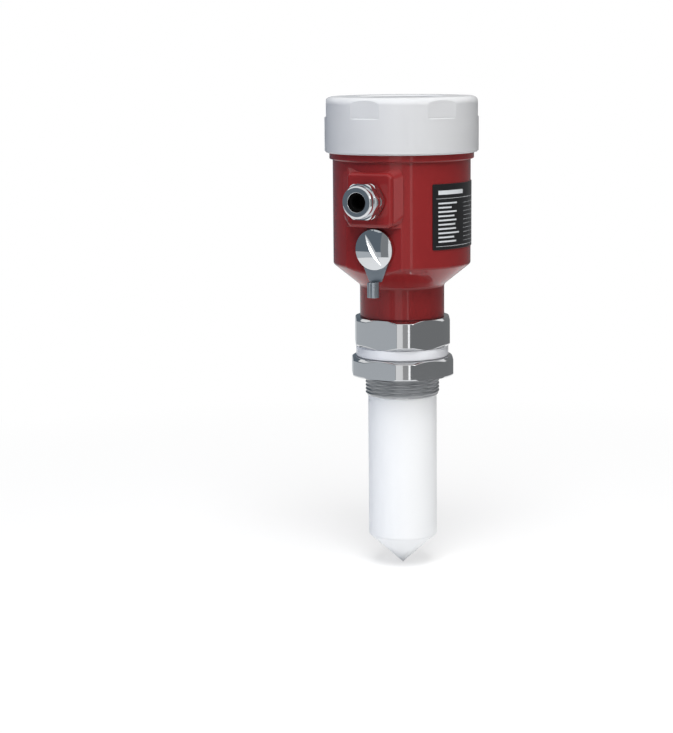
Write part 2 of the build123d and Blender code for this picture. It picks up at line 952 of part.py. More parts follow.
# Washer between the lug and the head of the earth screw
with BuildPart() as earth_washer:
    head_base = lug_front + washer_thickness
    revolve(
        ring_section(
            earth_thread_diameter / 2 + free_gap,
            washer_diameter / 2,
            lug_front,
            head_base,
            section_plane(earth_axis),
        ),
        axis=earth_axis,
    )
earth_washer.part.label = "earth_washer"
export_step(earth_washer.part, "parts/earth_washer.step")

# Earth screw with a wide domed head and one slot
with BuildPart() as earth_screw:
    head_top = head_base + earth_head_rim + earth_head_dome
    with BuildSketch(section_plane(earth_axis)):
        with BuildLine():
            Polyline(
                (0, head_top),
                (0, flat_reach - earth_screw_length),
                (earth_thread_diameter / 2, flat_reach - earth_screw_length),
                (earth_thread_diameter / 2, head_base),
                (earth_head_radius, head_base),
                (earth_head_radius, head_base + earth_head_rim),
            )
            TangentArc((0, head_top), (earth_head_radius, head_base + earth_head_rim), tangent=(1, 0))
        make_face()
    revolve(axis=earth_axis)
    extrude(
        slot_section(
            across_plane(earth_axis, head_top),
            2 * earth_head_diameter,
            earth_slot_width,
            90 + earth_slot_angle,
        ),
        amount=-earth_slot_depth,
        mode=Mode.SUBTRACT,
    )
earth_screw.part.label = "earth_screw"
export_step(earth_screw.part, "parts/earth_screw.step")

# Nameplate, a thin plate bent round the drum
with BuildPart() as nameplate:
    nameplate_inner = body_radius + seat_gap / 2
    half_angle = nameplate_width / 2 / body_radius
    with BuildSketch(Plane.XY.offset(z_body_bottom + nameplate_base)):
        Circle(nameplate_inner + nameplate_thickness)
        Circle(nameplate_inner, mode=Mode.SUBTRACT)
        with BuildLine():
            Polyline(
                (0, 0),
                (2 * body_radius, 2 * body_radius * tan(half_angle)),
                (2 * body_radius, -2 * body_radius * tan(half_angle)),
                close=True,
            )
        make_face(mode=Mode.INTERSECT)
    extrude(amount=nameplate_height)
    corners = nameplate.edges().filter_by(lambda edge: edge.length < nameplate_thickness * 1.5)
    fillet(corners, nameplate_corner_radius)
nameplate.part.label = "nameplate"
export_step(nameplate.part, "parts/nameplate.step")

# Grub screw that holds the housing's neck, at the back
with BuildPart() as neck_set_screw:
    set_screw_radius = set_screw_diameter / 2
    set_screw_tip = spigot_radius + free_gap
    set_screw_head = neck_radius - seat_gap
    revolve(
        ring_section(
            0, set_screw_radius, set_screw_tip, set_screw_head, section_plane(set_screw_axis)
        ),
        axis=set_screw_axis,
    )
    with BuildSketch(across_plane(set_screw_axis, set_screw_head)):
        RegularPolygon(set_screw_socket / 2, 6, major_radius=False)
    extrude(amount=-set_screw_socket_depth, mode=Mode.SUBTRACT)
neck_set_screw.part.label = "neck_set_screw"
export_step(neck_set_screw.part, "parts/neck_set_screw.step")

# Round ring in the rim's groove, against the lid's skirt
with BuildPart() as lid_o_ring:
    with Locations((0, 0, lid_ring_middle)):
        Torus(lid_bore_radius - running_gap - lid_ring_section / 2, lid_ring_section / 2)
lid_o_ring.part.label = "lid_o_ring"
export_step(lid_o_ring.part, "parts/lid_o_ring.step")

# Screwed lid with six finger flats, a round window opening and a collar for the glass
with BuildPart() as lid:
    revolve(
        half_section(
            [
                (lid_bore_radius, z_lid_bottom),
                (lid_radius - lid_base_chamfer, z_lid_bottom),
                (lid_radius, z_lid_bottom + lid_base_chamfer),
                (lid_radius, z_lid_top),
                (opening_radius + window_opening_chamfer, z_lid_top),
                (opening_radius, z_lid_top - window_opening_chamfer),
                (opening_radius, z_gasket_top),
                (pocket_radius, z_gasket_top),
                (pocket_radius, z_collar_bottom),
                (lid_bore_radius, z_collar_bottom),
            ],
            rounded=[(lid_radius, z_lid_top, lid_edge_radius)],
        ),
        axis=Axis.Z,
    )
    notch_reach = lid_radius * cos(radians(lid_notch_half_angle))
    with BuildSketch(Plane.XY.offset(z_lid_top - lid_notch_depth)):
        with PolarLocations(notch_reach + lid_radius / 2, lid_notches, start_angle=-90):
            Rectangle(lid_radius, lid_radius)
    extrude(amount=lid_notch_depth, mode=Mode.SUBTRACT)
lid.part.label = "lid"
export_step(lid.part, "parts/lid.step")

# Flat ring between the glass and the lid
with BuildPart() as window_gasket:
    revolve(
        ring_section(
            window_radius - window_gasket_width, window_radius, z_glass_top, z_gasket_top
        ),
        axis=Axis.Z,
    )
window_gasket.part.label = "window_gasket"
export_step(window_gasket.part, "parts/window_gasket.step")

# Window glass
with BuildPart() as window_glass:
    edge = window_edge_chamfer
    revolve(
        half_section(
            [
                (0, z_glass_bottom),
                (window_radius - edge, z_glass_bottom),
                (window_radius, z_glass_bottom + edge),
                (window_radius, z_glass_top - edge),
                (window_radius - edge, z_glass_top),
                (0, z_glass_top),
            ]
        ),
        axis=Axis.Z,
    )
window_glass.part.label = "window_glass"
export_step(window_glass.part, "parts/window_glass.step")

# Ring that holds the glass in the lid, with two spanner slots
with BuildPart() as window_retainer:
    revolve(
        ring_section(
            retainer_radius - retainer_width, retainer_radius, z_retainer_bottom, z_glass_bottom
        ),
        axis=Axis.Z,
    )
    extrude(
        slot_section(
            Plane.XY.offset(z_retainer_bottom), 4 * retainer_radius, retainer_slot_width
        ),
        amount=retainer_slot_depth,
        mode=Mode.SUBTRACT,
    )
window_retainer.part.label = "window_retainer"
export_step(window_retainer.part, "parts/window_retainer.step")

# Plastic cup of the electronics, hung by its flange on the shoulder in the housing
with BuildPart() as electronics_cup:
    board_ledge_radius = cup_bore_radius - board_ledge
    revolve(
        half_section(
            [
                (cup_hole / 2, z_cup_bottom),
                (cup_radius, z_cup_bottom),
                (cup_radius, z_shoulder),
                (carrier_radius, z_shoulder),
                (carrier_radius, z_flange_top),
                (cup_bore_radius, z_flange_top),
                (cup_bore_radius, z_board),
                (board_ledge_radius, z_board),
                (board_ledge_radius, z_cup_bottom + cup_floor),
                (cup_hole / 2, z_cup_bottom + cup_floor),
            ]
        ),
        axis=Axis.Z,
    )
    with BuildSketch(Plane.XY.offset(z_shoulder)):
        with PolarLocations(carrier_screw_place, 4):
            Circle(carrier_screw_diameter / 2 + seat_gap)
    extrude(amount=flange_thickness, mode=Mode.SUBTRACT)
electronics_cup.part.label = "electronics_cup"
export_step(electronics_cup.part, "parts/electronics_cup.step")

# Main board on the ledge in the cup
with BuildPart() as main_board:
    with BuildSketch(Plane.XY.offset(z_board)):
        Circle(cup_bore_radius - free_gap)
    extrude(amount=board_thickness)
main_board.part.label = "main_board"
export_step(main_board.part, "parts/main_board.step")

# Three hexagonal pillars between the board and the terminal plate
with BuildPart() as board_pillars:
    with BuildSketch(Plane.XY.offset(z_board_top)):
        with PolarLocations(cup_bore_radius - pillar_inset, 3, start_angle=30):
            RegularPolygon(pillar_across_flats / 2, 6, major_radius=False)
    extrude(amount=z_terminal_plate - z_board_top)
board_pillars.part.label = "board_pillars"
export_step(board_pillars.part, "parts/board_pillars.step")

# Plate that closes the cup and carries the terminals
with BuildPart() as terminal_plate:
    with BuildSketch(Plane.XY.offset(z_terminal_plate)):
        Circle(cup_bore_radius - free_gap)
    extrude(amount=terminal_plate_thickness)
terminal_plate.part.label = "terminal_plate"
export_step(terminal_plate.part, "parts/terminal_plate.step")

# Terminal block with a wire entry and a screw well for each pole
with BuildPart() as terminal_block:
    terminal_width = terminal_count * terminal_pitch
    z_terminal_top = z_flange_top + terminal_height
    block_plane = Plane.XY.offset(z_flange_top)
    with BuildSketch(block_plane):
        with Locations((0, terminal_offset)):
            Rectangle(terminal_width, terminal_depth)
    extrude(amount=terminal_height)
    front_plane = across_plane(gland_axis, terminal_depth / 2 - terminal_offset)
    with BuildSketch(front_plane):
        with Locations((0, z_flange_top + terminal_height / 3 - z_entry)):
            with GridLocations(terminal_pitch, 1, terminal_count, 1):
                Circle(wire_entry_diameter / 2)
    extrude(amount=-wire_entry_depth, mode=Mode.SUBTRACT)
    with BuildSketch(Plane.XY.offset(z_terminal_top)):
        with Locations((0, terminal_offset)):
            with GridLocations(terminal_pitch, 1, terminal_count, 1):
                Circle(terminal_screw_diameter / 2 + seat_gap)
    extrude(amount=-2 * terminal_screw_sink, mode=Mode.SUBTRACT)
terminal_block.part.label = "terminal_block"
export_step(terminal_block.part, "parts/terminal_block.step")

# Slotted screws down in the wells of the terminal block
with BuildPart() as terminal_screws:
    z_screw_top = z_terminal_top - terminal_screw_sink
    with BuildSketch(Plane.XY.offset(z_screw_top)):
        with Locations((0, terminal_offset)):
            with GridLocations(terminal_pitch, 1, terminal_count, 1):
                Circle(terminal_screw_diameter / 2)
    extrude(amount=-terminal_screw_sink)
    extrude(
        slot_section(
            Plane.XY.offset(z_screw_top).move(Location((0, terminal_offset, 0))),
            2 * terminal_width,
            terminal_screw_slot,
        ),
        amount=-terminal_screw_slot,
        mode=Mode.SUBTRACT,
    )
terminal_screws.part.label = "terminal_screws"
export_step(terminal_screws.part, "parts/terminal_screws.step")

# Foot ring of the display's carrier, screwed down on the cup's flange
with BuildPart() as carrier_foot:
    foot_radius = carrier_radius - carrier_foot_width
    with BuildSketch(Plane.XY.offset(z_flange_top)):
        Circle(carrier_radius)
        Circle(foot_radius, mode=Mode.SUBTRACT)
        with PolarLocations(carrier_screw_place, 4):
            Circle(carrier_screw_diameter / 2 + seat_gap, mode=Mode.SUBTRACT)
    extrude(amount=carrier_foot_height)
carrier_foot.part.label = "carrier_foot"
export_step(carrier_foot.part, "parts/carrier_foot.step")

# Four curved legs between the carrier's foot and its top ring
with BuildPart() as carrier_legs:
    carrier_inner_radius = carrier_radius - carrier_wall
    z_top_ring = z_display_bottom - carrier_ring_height
    window_span = sqrt(2) * carrier_inner_radius - carrier_leg_width
    with BuildSketch(Plane.XY.offset(z_foot_top)):
        Circle(carrier_radius)
        Circle(carrier_inner_radius, mode=Mode.SUBTRACT)
        Rectangle(window_span, 2 * carrier_radius, mode=Mode.SUBTRACT)
        Rectangle(2 * carrier_radius, window_span, mode=Mode.SUBTRACT)
    extrude(amount=z_top_ring - z_foot_top)
carrier_legs.part.label = "carrier_legs"
export_step(carrier_legs.part, "parts/carrier_legs.step")

# Top ring of the carrier, in which the display turns
with BuildPart() as display_carrier:
    top_ring_radius = carrier_radius - carrier_ring_width
    with BuildSketch(Plane.XY.offset(z_top_ring)):
        Circle(carrier_radius)
        Circle(top_ring_radius, mode=Mode.SUBTRACT)
    extrude(amount=carrier_ring_height)
display_carrier.part.label = "display_carrier"
export_step(display_carrier.part, "parts/display_carrier.step")

# Four slotted screws that hold the carrier and the cup down
with BuildPart() as carrier_screws:
    z_head_top = z_foot_top + carrier_screw_head_height
    with BuildSketch(Plane.XY.offset(z_shoulder - carrier_screw_bite)):
        with PolarLocations(carrier_screw_place, 4):
            Circle(carrier_screw_diameter / 2)
    extrude(amount=z_foot_top - z_shoulder + carrier_screw_bite)
    with BuildSketch(Plane.XY.offset(z_foot_top)):
        with PolarLocations(carrier_screw_place, 4):
            Circle(carrier_screw_head / 2)
    extrude(amount=carrier_screw_head_height)
    with BuildSketch(Plane.XY.offset(z_head_top)):
        with PolarLocations(carrier_screw_place, 4):
            Rectangle(carrier_screw_slot, 2 * carrier_screw_head)
    extrude(amount=-carrier_screw_slot_depth, mode=Mode.SUBTRACT)
carrier_screws.part.label = "carrier_screws"
export_step(carrier_screws.part, "parts/carrier_screws.step")

# Base of the display: a tub with a spigot in the carrier and a ring under the board
with BuildPart() as display_base:
    wall_inner_radius = display_radius - display_wall
    face_inner_radius = face_radius - face_wall
    base_ring_radius = display_radius - base_ring_inset
    base_spigot_radius = top_ring_radius - free_gap
    revolve(
        half_section(
            [
                (0, z_display_bottom),
                (base_spigot_radius - base_ring_wall, z_display_bottom),
                (base_spigot_radius - base_ring_wall, z_top_ring),
                (base_spigot_radius, z_top_ring),
                (base_spigot_radius, z_display_bottom),
                (display_radius, z_display_bottom),
                (display_radius, z_display_shoulder),
                (face_inner_radius, z_display_shoulder),
                (face_inner_radius, z_display_shoulder - display_wall),
                (wall_inner_radius, z_display_shoulder - display_wall),
                (wall_inner_radius, z_display_bottom + base_thickness),
                (base_ring_radius, z_display_bottom + base_thickness),
                (base_ring_radius, z_display_board),
                (base_ring_radius - base_ring_wall, z_display_board),
                (base_ring_radius - base_ring_wall, z_display_bottom + base_thickness),
                (0, z_display_bottom + base_thickness),
            ]
        ),
        axis=Axis.Z,
    )
display_base.part.label = "display_base"
export_step(display_base.part, "parts/display_base.step")

# Board of the display
with BuildPart() as display_board:
    with BuildSketch(Plane.XY.offset(z_display_board)):
        Circle(face_inner_radius - seat_gap)
    extrude(amount=board_thickness)
display_board.part.label = "display_board"
export_step(display_board.part, "parts/display_board.step")

key_places = GridLocations(key_pitch, 1, key_count, 1).locations
key_centres = [(place.position.X, place.position.Y - key_row) for place in key_places]

# Moulded cover on the base, with its screen opening and key holes
with BuildPart() as display_cover:
    revolve(
        half_section(
            [
                (0, z_face_underside),
                (face_inner_radius, z_face_underside),
                (face_inner_radius, z_display_shoulder),
                (face_radius, z_display_shoulder),
                (face_radius, z_face),
                (0, z_face),
            ],
            rounded=[(face_radius, z_face, face_edge_radius)],
        ),
        axis=Axis.Z,
    )
    with BuildSketch(Plane.XY.offset(z_face)):
        with Locations((0, screen_offset)):
            Rectangle(screen_width + 2 * seat_gap, screen_height + 2 * seat_gap)
        with Locations(*key_centres):
            Circle(key_radius + key_gap)
    extrude(amount=-face_thickness, mode=Mode.SUBTRACT)
display_cover.part.label = "display_cover"
export_step(display_cover.part, "parts/display_cover.step")

# Screen block on the display's board, raised into the cover's opening
with BuildPart() as display_screen:
    with BuildSketch(Plane.XY.offset(z_display_board_top)):
        with Locations((0, screen_offset)):
            Rectangle(screen_width + 2 * screen_border, screen_height + 2 * screen_border)
    extrude(amount=display_board_gap)
    with BuildSketch(Plane.XY.offset(z_face_underside)):
        with Locations((0, screen_offset)):
            Rectangle(screen_width, screen_height)
    extrude(amount=face_thickness - screen_sink)
display_screen.part.label = "display_screen"
export_step(display_screen.part, "parts/display_screen.step")

# Four round keys with a flange under the cover
for number, (key_x, key_y) in enumerate(key_centres, start=1):
    with BuildPart() as key:
        with BuildSketch(Plane.XY.offset(z_face_underside)):
            with Locations((key_x, key_y)):
                Circle(key_radius + key_flange_width)
        extrude(amount=-key_flange_height)
        with BuildSketch(Plane.XY.offset(z_face_underside)):
            with Locations((key_x, key_y)):
                Circle(key_radius)
        extrude(amount=face_thickness + key_proud)
    key.part.label = f"key_{number}"
    export_step(key.part, f"parts/key_{number}.step")
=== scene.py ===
import logging
from abc import ABC, abstractmethod
from collections.abc import Callable, Iterable, Sequence
from dataclasses import asdict, dataclass, replace
from enum import Enum
from math import acos, atan2, cos, degrees, pi, radians, sin, sqrt, tan
from typing import ClassVar

import bmesh
import bpy
import numpy as np
from mathutils import Matrix, Vector


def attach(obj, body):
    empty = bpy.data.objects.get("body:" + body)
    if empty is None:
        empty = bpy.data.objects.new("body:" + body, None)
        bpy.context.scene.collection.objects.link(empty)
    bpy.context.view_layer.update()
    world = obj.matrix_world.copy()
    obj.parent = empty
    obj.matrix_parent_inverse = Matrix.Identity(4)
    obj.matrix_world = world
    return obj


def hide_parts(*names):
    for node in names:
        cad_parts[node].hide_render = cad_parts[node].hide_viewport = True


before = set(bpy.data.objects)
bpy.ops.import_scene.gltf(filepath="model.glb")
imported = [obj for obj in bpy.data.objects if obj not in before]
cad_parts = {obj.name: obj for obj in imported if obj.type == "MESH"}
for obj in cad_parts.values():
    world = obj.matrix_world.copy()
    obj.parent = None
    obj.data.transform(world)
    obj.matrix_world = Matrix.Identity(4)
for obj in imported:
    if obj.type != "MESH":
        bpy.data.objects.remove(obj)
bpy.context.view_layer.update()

# Looks of a radar level sensor: red cast housing, white screwed lid with a window, bright
# fittings and a white antenna tube. Sizes are in millimetres and become metres in the meshes.
# The scene's frame is the part's: +Z up the sensor's axis, -Y along the cable gland.

log = logging.getLogger("sensor")

MM = 0.001
FULL_TURN = 360.0
UP = Vector((0, 0, 1))

Point = tuple[float, float]
Corner = tuple[float, float, float]
Colour = tuple[float, float, float]
Box = tuple[float, float, float, float]


class Side(Enum):
    """Level directions in which a fitting stands out from the housing."""

    FRONT = -1
    BACK = 1

    def place(self, height: float, across: float = 0.0) -> Matrix:
        """Frame of a turned piece on this side, its own Z pointing away from the housing.

        Args:
            height: Level of the piece's axis.
            across: Distance of the axis from the middle, towards +X.

        Returns:
            Matrix in millimetres whose Y points up.
        """
        outward = Vector((0, self.value, 0))
        turn = Matrix((UP.cross(outward), UP, outward)).transposed().to_4x4()
        return Matrix.Translation((across, 0, height)) @ turn


# Node trees


class Graph:
    """A node tree in the making, of a material, a world or a geometry modifier."""

    def __init__(self, tree: bpy.types.NodeTree) -> None:
        """Empties the tree that the nodes go into."""
        self.tree = tree
        tree.nodes.clear()

    def node(
        self, kind: str, sockets: dict[str | int, object] | None = None, **settings: object
    ) -> bpy.types.Node:
        """Adds one node.

        Args:
            kind: Blender's name of the node type.
            sockets: For each named or numbered input a constant to set, or a Value, an output
                or a node to link.
            settings: Properties, set before the sockets.

        Returns:
            The new node.
        """
        made = self.tree.nodes.new(kind)
        for name, value in settings.items():
            setattr(made, name, value)
        for name, value in (sockets or {}).items():
            if isinstance(value, bpy.types.Node):
                value = value.outputs[0]
            if isinstance(value, Value):
                value = value.socket
            if isinstance(value, bpy.types.NodeSocket):
                self.tree.links.new(value, made.inputs[name])
            else:
                made.inputs[name].default_value = value
        return made

    def value(self, node: bpy.types.Node, output: str | int = 0) -> "Value":
        """Wraps one output of a node for use in an expression."""
        return Value(self, node.outputs[output])

    def maths(self, operation: str, *operands: "Value | float") -> "Value":
        """Adds one Math node and wraps its result."""
        inputs = dict(enumerate(operands))
        return self.value(self.node("ShaderNodeMath", inputs, operation=operation))

    def split(self, vector: object) -> list["Value"]:
        """The X, Y and Z of a vector."""
        parts = self.node("ShaderNodeSeparateXYZ", {0: vector})
        return [self.value(parts, axis) for axis in "XYZ"]

    def vector(self, **parts: "Value | float") -> bpy.types.Node:
        """A vector with the given X, Y and Z, each nought where it is left out."""
        return self.node("ShaderNodeCombineXYZ", parts)

    def place(self) -> bpy.types.NodeSocket:
        """The point on the piece, in metres from the sensor's origin."""
        return self.node("ShaderNodeTexCoord").outputs["Object"]

    def noise(self, scale: float) -> "Value":
        """Fine random variation round a half, with so many spots for each metre."""
        sockets = {"Vector": self.place(), "Scale": scale}
        return self.value(self.node("ShaderNodeTexNoise", sockets), "Fac")

    def bumped(self, height: "Value", strength: float, depth: float) -> bpy.types.Node:
        """A surface direction that follows a height.

        Args:
            height: Height between nought and one.
            strength: Share of the bump that is used.
            depth: Real height in millimetres that one stands for.

        Returns:
            The node that gives the direction.
        """
        sockets = {"Strength": strength, "Distance": depth * MM, "Height": height}
        return self.node("ShaderNodeBump", sockets)

    def principled(
        self, colour: Colour, roughness: "Value | float", others: dict[str, object]
    ) -> bpy.types.Node:
        """Adds the surface shader.

        Args:
            colour: Base colour.
            roughness: Roughness.
            others: Its other inputs by name, which may name a varying Base Color too.

        Returns:
            The shader.
        """
        sockets = {"Base Color": (*colour, 1), "Roughness": roughness, **others}
        return self.node("ShaderNodeBsdfPrincipled", sockets)

    def seen(self) -> "Value":
        """Tells what is seen from what only lights.

        Returns:
            One for a ray from the camera, in gloss or through glass, else nought.
        """
        path = self.node("ShaderNodeLightPath")
        camera = self.value(path, "Is Camera Ray")
        gloss = self.value(path, "Is Glossy Ray")
        glass = self.value(path, "Is Transmission Ray")
        return (camera + gloss + glass).clamped()


class Value:
    """A number in a node tree that adds Math nodes when it is used in an expression."""

    def __init__(self, graph: Graph, socket: bpy.types.NodeSocket) -> None:
        """Wraps an output socket of a graph."""
        self.graph = graph
        self.socket = socket

    def maths(self, operation: str, *others: "Value | float") -> "Value":
        """Result of a Math node with this number as its first operand."""
        return self.graph.maths(operation, self, *others)

    def __add__(self, other: "Value | float") -> "Value":
        """Sum."""
        return self.maths("ADD", other)

    def __radd__(self, other: float) -> "Value":
        """Sum with a number in front."""
        return self.graph.maths("ADD", other, self)

    def __sub__(self, other: "Value | float") -> "Value":
        """Difference."""
        return self.maths("SUBTRACT", other)

    def __rsub__(self, other: float) -> "Value":
        """Difference with a number in front."""
        return self.graph.maths("SUBTRACT", other, self)

    def __mul__(self, other: "Value | float") -> "Value":
        """Product."""
        return self.maths("MULTIPLY", other)

    def __rmul__(self, other: float) -> "Value":
        """Product with a number in front."""
        return self.graph.maths("MULTIPLY", other, self)

    def __truediv__(self, other: "Value | float") -> "Value":
        """Quotient."""
        return self.maths("DIVIDE", other)

    def __lt__(self, other: "Value | float") -> "Value":
        """One where this is below the other, else nought."""
        return self.maths("LESS_THAN", other)

    def __gt__(self, other: "Value | float") -> "Value":
        """One where this is above the other, else nought."""
        return self.maths("GREATER_THAN", other)

    def swing(self, spread: float) -> "Value":
        """This noise round a half made a swing round nought, so wide in all."""
        return (self - 0.5) * spread

    def clamped(self, low: "Value | float" = 0.0, high: "Value | float" = 1.0) -> "Value":
        """This number kept between two others."""
        return self.maths("MAXIMUM", low).maths("MINIMUM", high)


# Finishes


@dataclass(frozen=True)
class Finish(ABC):
    """A surface finish that makes its own material when it is first used."""

    name: str
    colour: Colour

    def material(self) -> bpy.types.Material:
        """Makes the finish's material once.

        Returns:
            The material, which all pieces with the finish share.
        """
        label = f"{self.name}_finish"
        made = bpy.data.materials.get(label)
        if made is None:
            made = bpy.data.materials.new(label)
            made.use_nodes = True
            graph = Graph(made.node_tree)
            graph.node("ShaderNodeOutputMaterial", {"Surface": self.surface(graph)})
        return made

    @abstractmethod
    def surface(self, graph: Graph) -> bpy.types.Node:
        """Builds the finish's shader.

        Args:
            graph: The material's tree.

        Returns:
            The node whose first output is the surface.
        """


@dataclass(frozen=True)
class Enamel(Finish):
    """Glossy baked enamel with the faint waviness of sprayed paint."""

    roughness: float = 0.3
    coat: float = 0.5
    waviness: float = 0.05
    sheen: float = 0.1
    waves: float = 260.0
    wave_height: float = 0.3
    variation: float = 0.06
    coat_roughness: float = 0.04

    def surface(self, graph: Graph) -> bpy.types.Node:
        """Builds the enamel.

        Args:
            graph: The material's tree.

        Returns:
            The shader.
        """
        wave = graph.noise(self.waves)
        return graph.principled(
            self.colour,
            self.roughness + wave.swing(self.variation),
            {
                "Specular IOR Level": self.sheen,
                "Coat Weight": self.coat,
                "Coat Roughness": self.coat_roughness,
                "Normal": graph.bumped(wave, self.waviness, self.wave_height),
            },
        )


@dataclass(frozen=True)
class TurnedMetal(Finish):
    """Bright metal with fine rings from the lathe, level round the sensor's axis."""

    roughness: float = 0.2
    spread: float = 0.03
    ring_pitch: float = 0.8
    patches: float = 90.0
    patch_spread: float = 0.04

    def surface(self, graph: Graph) -> bpy.types.Node:
        """Builds the metal.

        Args:
            graph: The material's tree.

        Returns:
            The shader.
        """
        sockets = {
            "W": graph.split(graph.place())[2],
            "Scale": 1 / (self.ring_pitch * MM),
            "Detail": 1.0,
        }
        rings = graph.node("ShaderNodeTexNoise", sockets, noise_dimensions="1D")
        line, patch = graph.value(rings, "Fac"), graph.noise(self.patches)
        roughness = self.roughness + line.swing(self.spread) + patch.swing(self.patch_spread)
        return graph.principled(self.colour, roughness, {"Metallic": 1.0})


@dataclass(frozen=True)
class PlatedMetal(Finish):
    """Plated or blasted metal, the same in all directions."""

    roughness: float = 0.15
    spread: float = 0.1
    grain: float = 0.0
    patches: float = 140.0
    specks: float = 2400.0
    speck_height: float = 0.02

    def surface(self, graph: Graph) -> bpy.types.Node:
        """Builds the metal.

        Args:
            graph: The material's tree.

        Returns:
            The shader.
        """
        patch, speck = graph.noise(self.patches), graph.noise(self.specks)
        grain = graph.bumped(speck, self.grain, self.speck_height)
        roughness = self.roughness + patch.swing(self.spread)
        return graph.principled(self.colour, roughness, {"Metallic": 1.0, "Normal": grain})


@dataclass(frozen=True)
class Plastic(Finish):
    """Moulded plastic, fluoroplastic, rubber or print."""

    roughness: float = 0.45
    grain: float = 0.1
    glow: float = 0.0
    sheen: float = 0.5
    specks: float = 900.0
    speck_height: float = 0.05
    variation: float = 0.08

    def surface(self, graph: Graph) -> bpy.types.Node:
        """Builds the plastic.

        Args:
            graph: The material's tree.

        Returns:
            The shader.
        """
        speck = graph.noise(self.specks)
        return graph.principled(
            self.colour,
            self.roughness + speck.swing(self.variation),
            {
                "Emission Color": (*self.colour, 1),
                "Emission Strength": self.glow,
                "Specular IOR Level": self.sheen,
                "Normal": graph.bumped(speck, self.grain, self.speck_height),
            },
        )


@dataclass(frozen=True)
class Laminate(Finish):
    """Circuit board: green lacquer with copper tracks that show faintly through it."""

    track: Colour
    track_pitch: float = 1.9
    track_edge: float = 0.42
    track_strength: float = 0.8
    roughness: float = 0.35

    def surface(self, graph: Graph) -> bpy.types.Node:
        """Builds the laminate.

        Args:
            graph: The material's tree.

        Returns:
            The shader.
        """
        sockets = {"Vector": graph.place(), "Scale": 1 / (self.track_pitch * MM)}
        cells = graph.node("ShaderNodeTexVoronoi", sockets, distance="CHEBYCHEV", feature="F1")
        line = (graph.value(cells, "Distance") > self.track_edge) * self.track_strength
        sockets = {"Factor": line, 6: (*self.colour, 1), 7: (*self.track, 1)}
        mixed = graph.node("ShaderNodeMix", sockets, data_type="RGBA")
        return graph.principled(self.colour, self.roughness, {"Base Color": mixed.outputs[2]})


@dataclass(frozen=True)
class ClearGlass(Finish):
    """Clear window glass."""

    roughness: float = 0.02
    ior: float = 1.5

    def surface(self, graph: Graph) -> bpy.types.Node:
        """Builds the glass."""
        others = {"IOR": self.ior, "Transmission Weight": 1.0}
        return graph.principled(self.colour, self.roughness, others)


class Palette:
    """Every finish of the sensor.

    A finish has the name of the record's slot that it shows, apart from five that are a look of
    their own: fluoroplastic_painted_shade, rolled_steel_painted_shade, sleeve_and_bore_shade,
    print_pale and print_dark.
    """

    stainless = TurnedMetal("stainless_steel", (0.62, 0.63, 0.64), 0.07)
    spring = PlatedMetal("spring_steel", (0.42, 0.42, 0.43), 0.3)
    tinned = PlatedMetal("lug_steel", (0.40, 0.44, 0.48), 0.3, 0.12, 0.1)
    nickel = PlatedMetal("nickel_plate", (0.66, 0.68, 0.70), 0.05, 0.03)
    aluminium = PlatedMetal("machined_aluminium", (0.72, 0.73, 0.74), 0.32)
    red = Enamel("red_enamel", (0.22, 0.0145, 0.0155), 0.3, 0.55)
    white = Enamel("white_enamel", (0.565, 0.57, 0.58), 0.45, 0.35)
    plate = Plastic("nameplate_black", (0.008, 0.008, 0.009), 0.3, 0.05)
    fluoroplastic = Plastic("white_fluoroplastic", (0.84, 0.85, 0.86), 0.42, 0.06)
    # The tube's fluoroplastic made darker and bluer for the seal ring: painted shade under the
    # hexagon.
    shaded_fluoroplastic = Plastic("fluoroplastic_painted_shade", (0.76, 0.77, 0.80), 0.2, 0.04)
    # The fitting's stainless steel made darker for its thread: painted shade under the lock nut,
    # with the rougher surface of a rolled thread.
    rolled = TurnedMetal("rolled_steel_painted_shade", (0.34, 0.35, 0.362), 0.3)
    black = Plastic("black_plastic", (0.02, 0.02, 0.022), 0.42, 0.1)
    green = Plastic("green_plastic", (0.05, 0.26, 0.09), 0.42, 0.1)
    slate = Plastic("slate_plastic", (0.035, 0.045, 0.055), 0.32, 0.05)
    board = Laminate("circuit_board", (0.02, 0.11, 0.05), (0.06, 0.2, 0.08))
    screen = Plastic("screen_blue", (0.24, 0.52, 0.93), 0.25, 0.0, 0.35)
    key = Plastic("key_blue", (0.028, 0.095, 0.18), 0.35, 0.05)
    rubber = Plastic("black_rubber", (0.012, 0.012, 0.013), 0.6, 0.3)
    # Rubber darker than black_rubber, for the gland's sleeve and a disc in its bore: painted
    # shade of the deep bore.
    sleeve_and_bore_shade = Plastic("sleeve_and_bore_shade", (0.003, 0.003, 0.003), 0.7, 0.1, sheen=0.03)
    glass = ClearGlass("window_glass", (0.97, 0.99, 0.99))
    print_pale = Plastic("print_pale", (0.62, 0.64, 0.66), 0.5, 0.0)
    print_dark = Plastic("print_dark", (0.02, 0.03, 0.07), 0.5, 0.0)


# Meshes


def linked(name: str, data: bpy.types.ID) -> bpy.types.Object:
    """Adds an object to the scene.

    Args:
        name: Its name.
        data: Its mesh, curve, light or camera.

    Returns:
        The object.
    """
    made = bpy.data.objects.new(name, data)
    bpy.context.scene.collection.objects.link(made)
    return made


def evaluated_mesh(holder: bpy.types.Object) -> bpy.types.Mesh:
    """The mesh that an object's curve settings or modifiers give."""
    graph = bpy.context.evaluated_depsgraph_get()
    return bpy.data.meshes.new_from_object(holder.evaluated_get(graph))


def working_mesh(meshes: Iterable[bpy.types.Mesh]) -> bmesh.types.BMesh:
    """Opens meshes for work and removes them.

    Args:
        meshes: The meshes.

    Returns:
        One working mesh with all of them.
    """
    bm = bmesh.new()
    for mesh in meshes:
        bm.from_mesh(mesh)
        bpy.data.meshes.remove(mesh)
    return bm


def plain_mesh(bm: bmesh.types.BMesh) -> bpy.types.Mesh:
    """Turns a working mesh into a mesh as it is.

    Args:
        bm: Working mesh, which is used up.

    Returns:
        The mesh.
    """
    mesh = bpy.data.meshes.new("mesh")
    bm.to_mesh(mesh)
    bm.free()
    return mesh


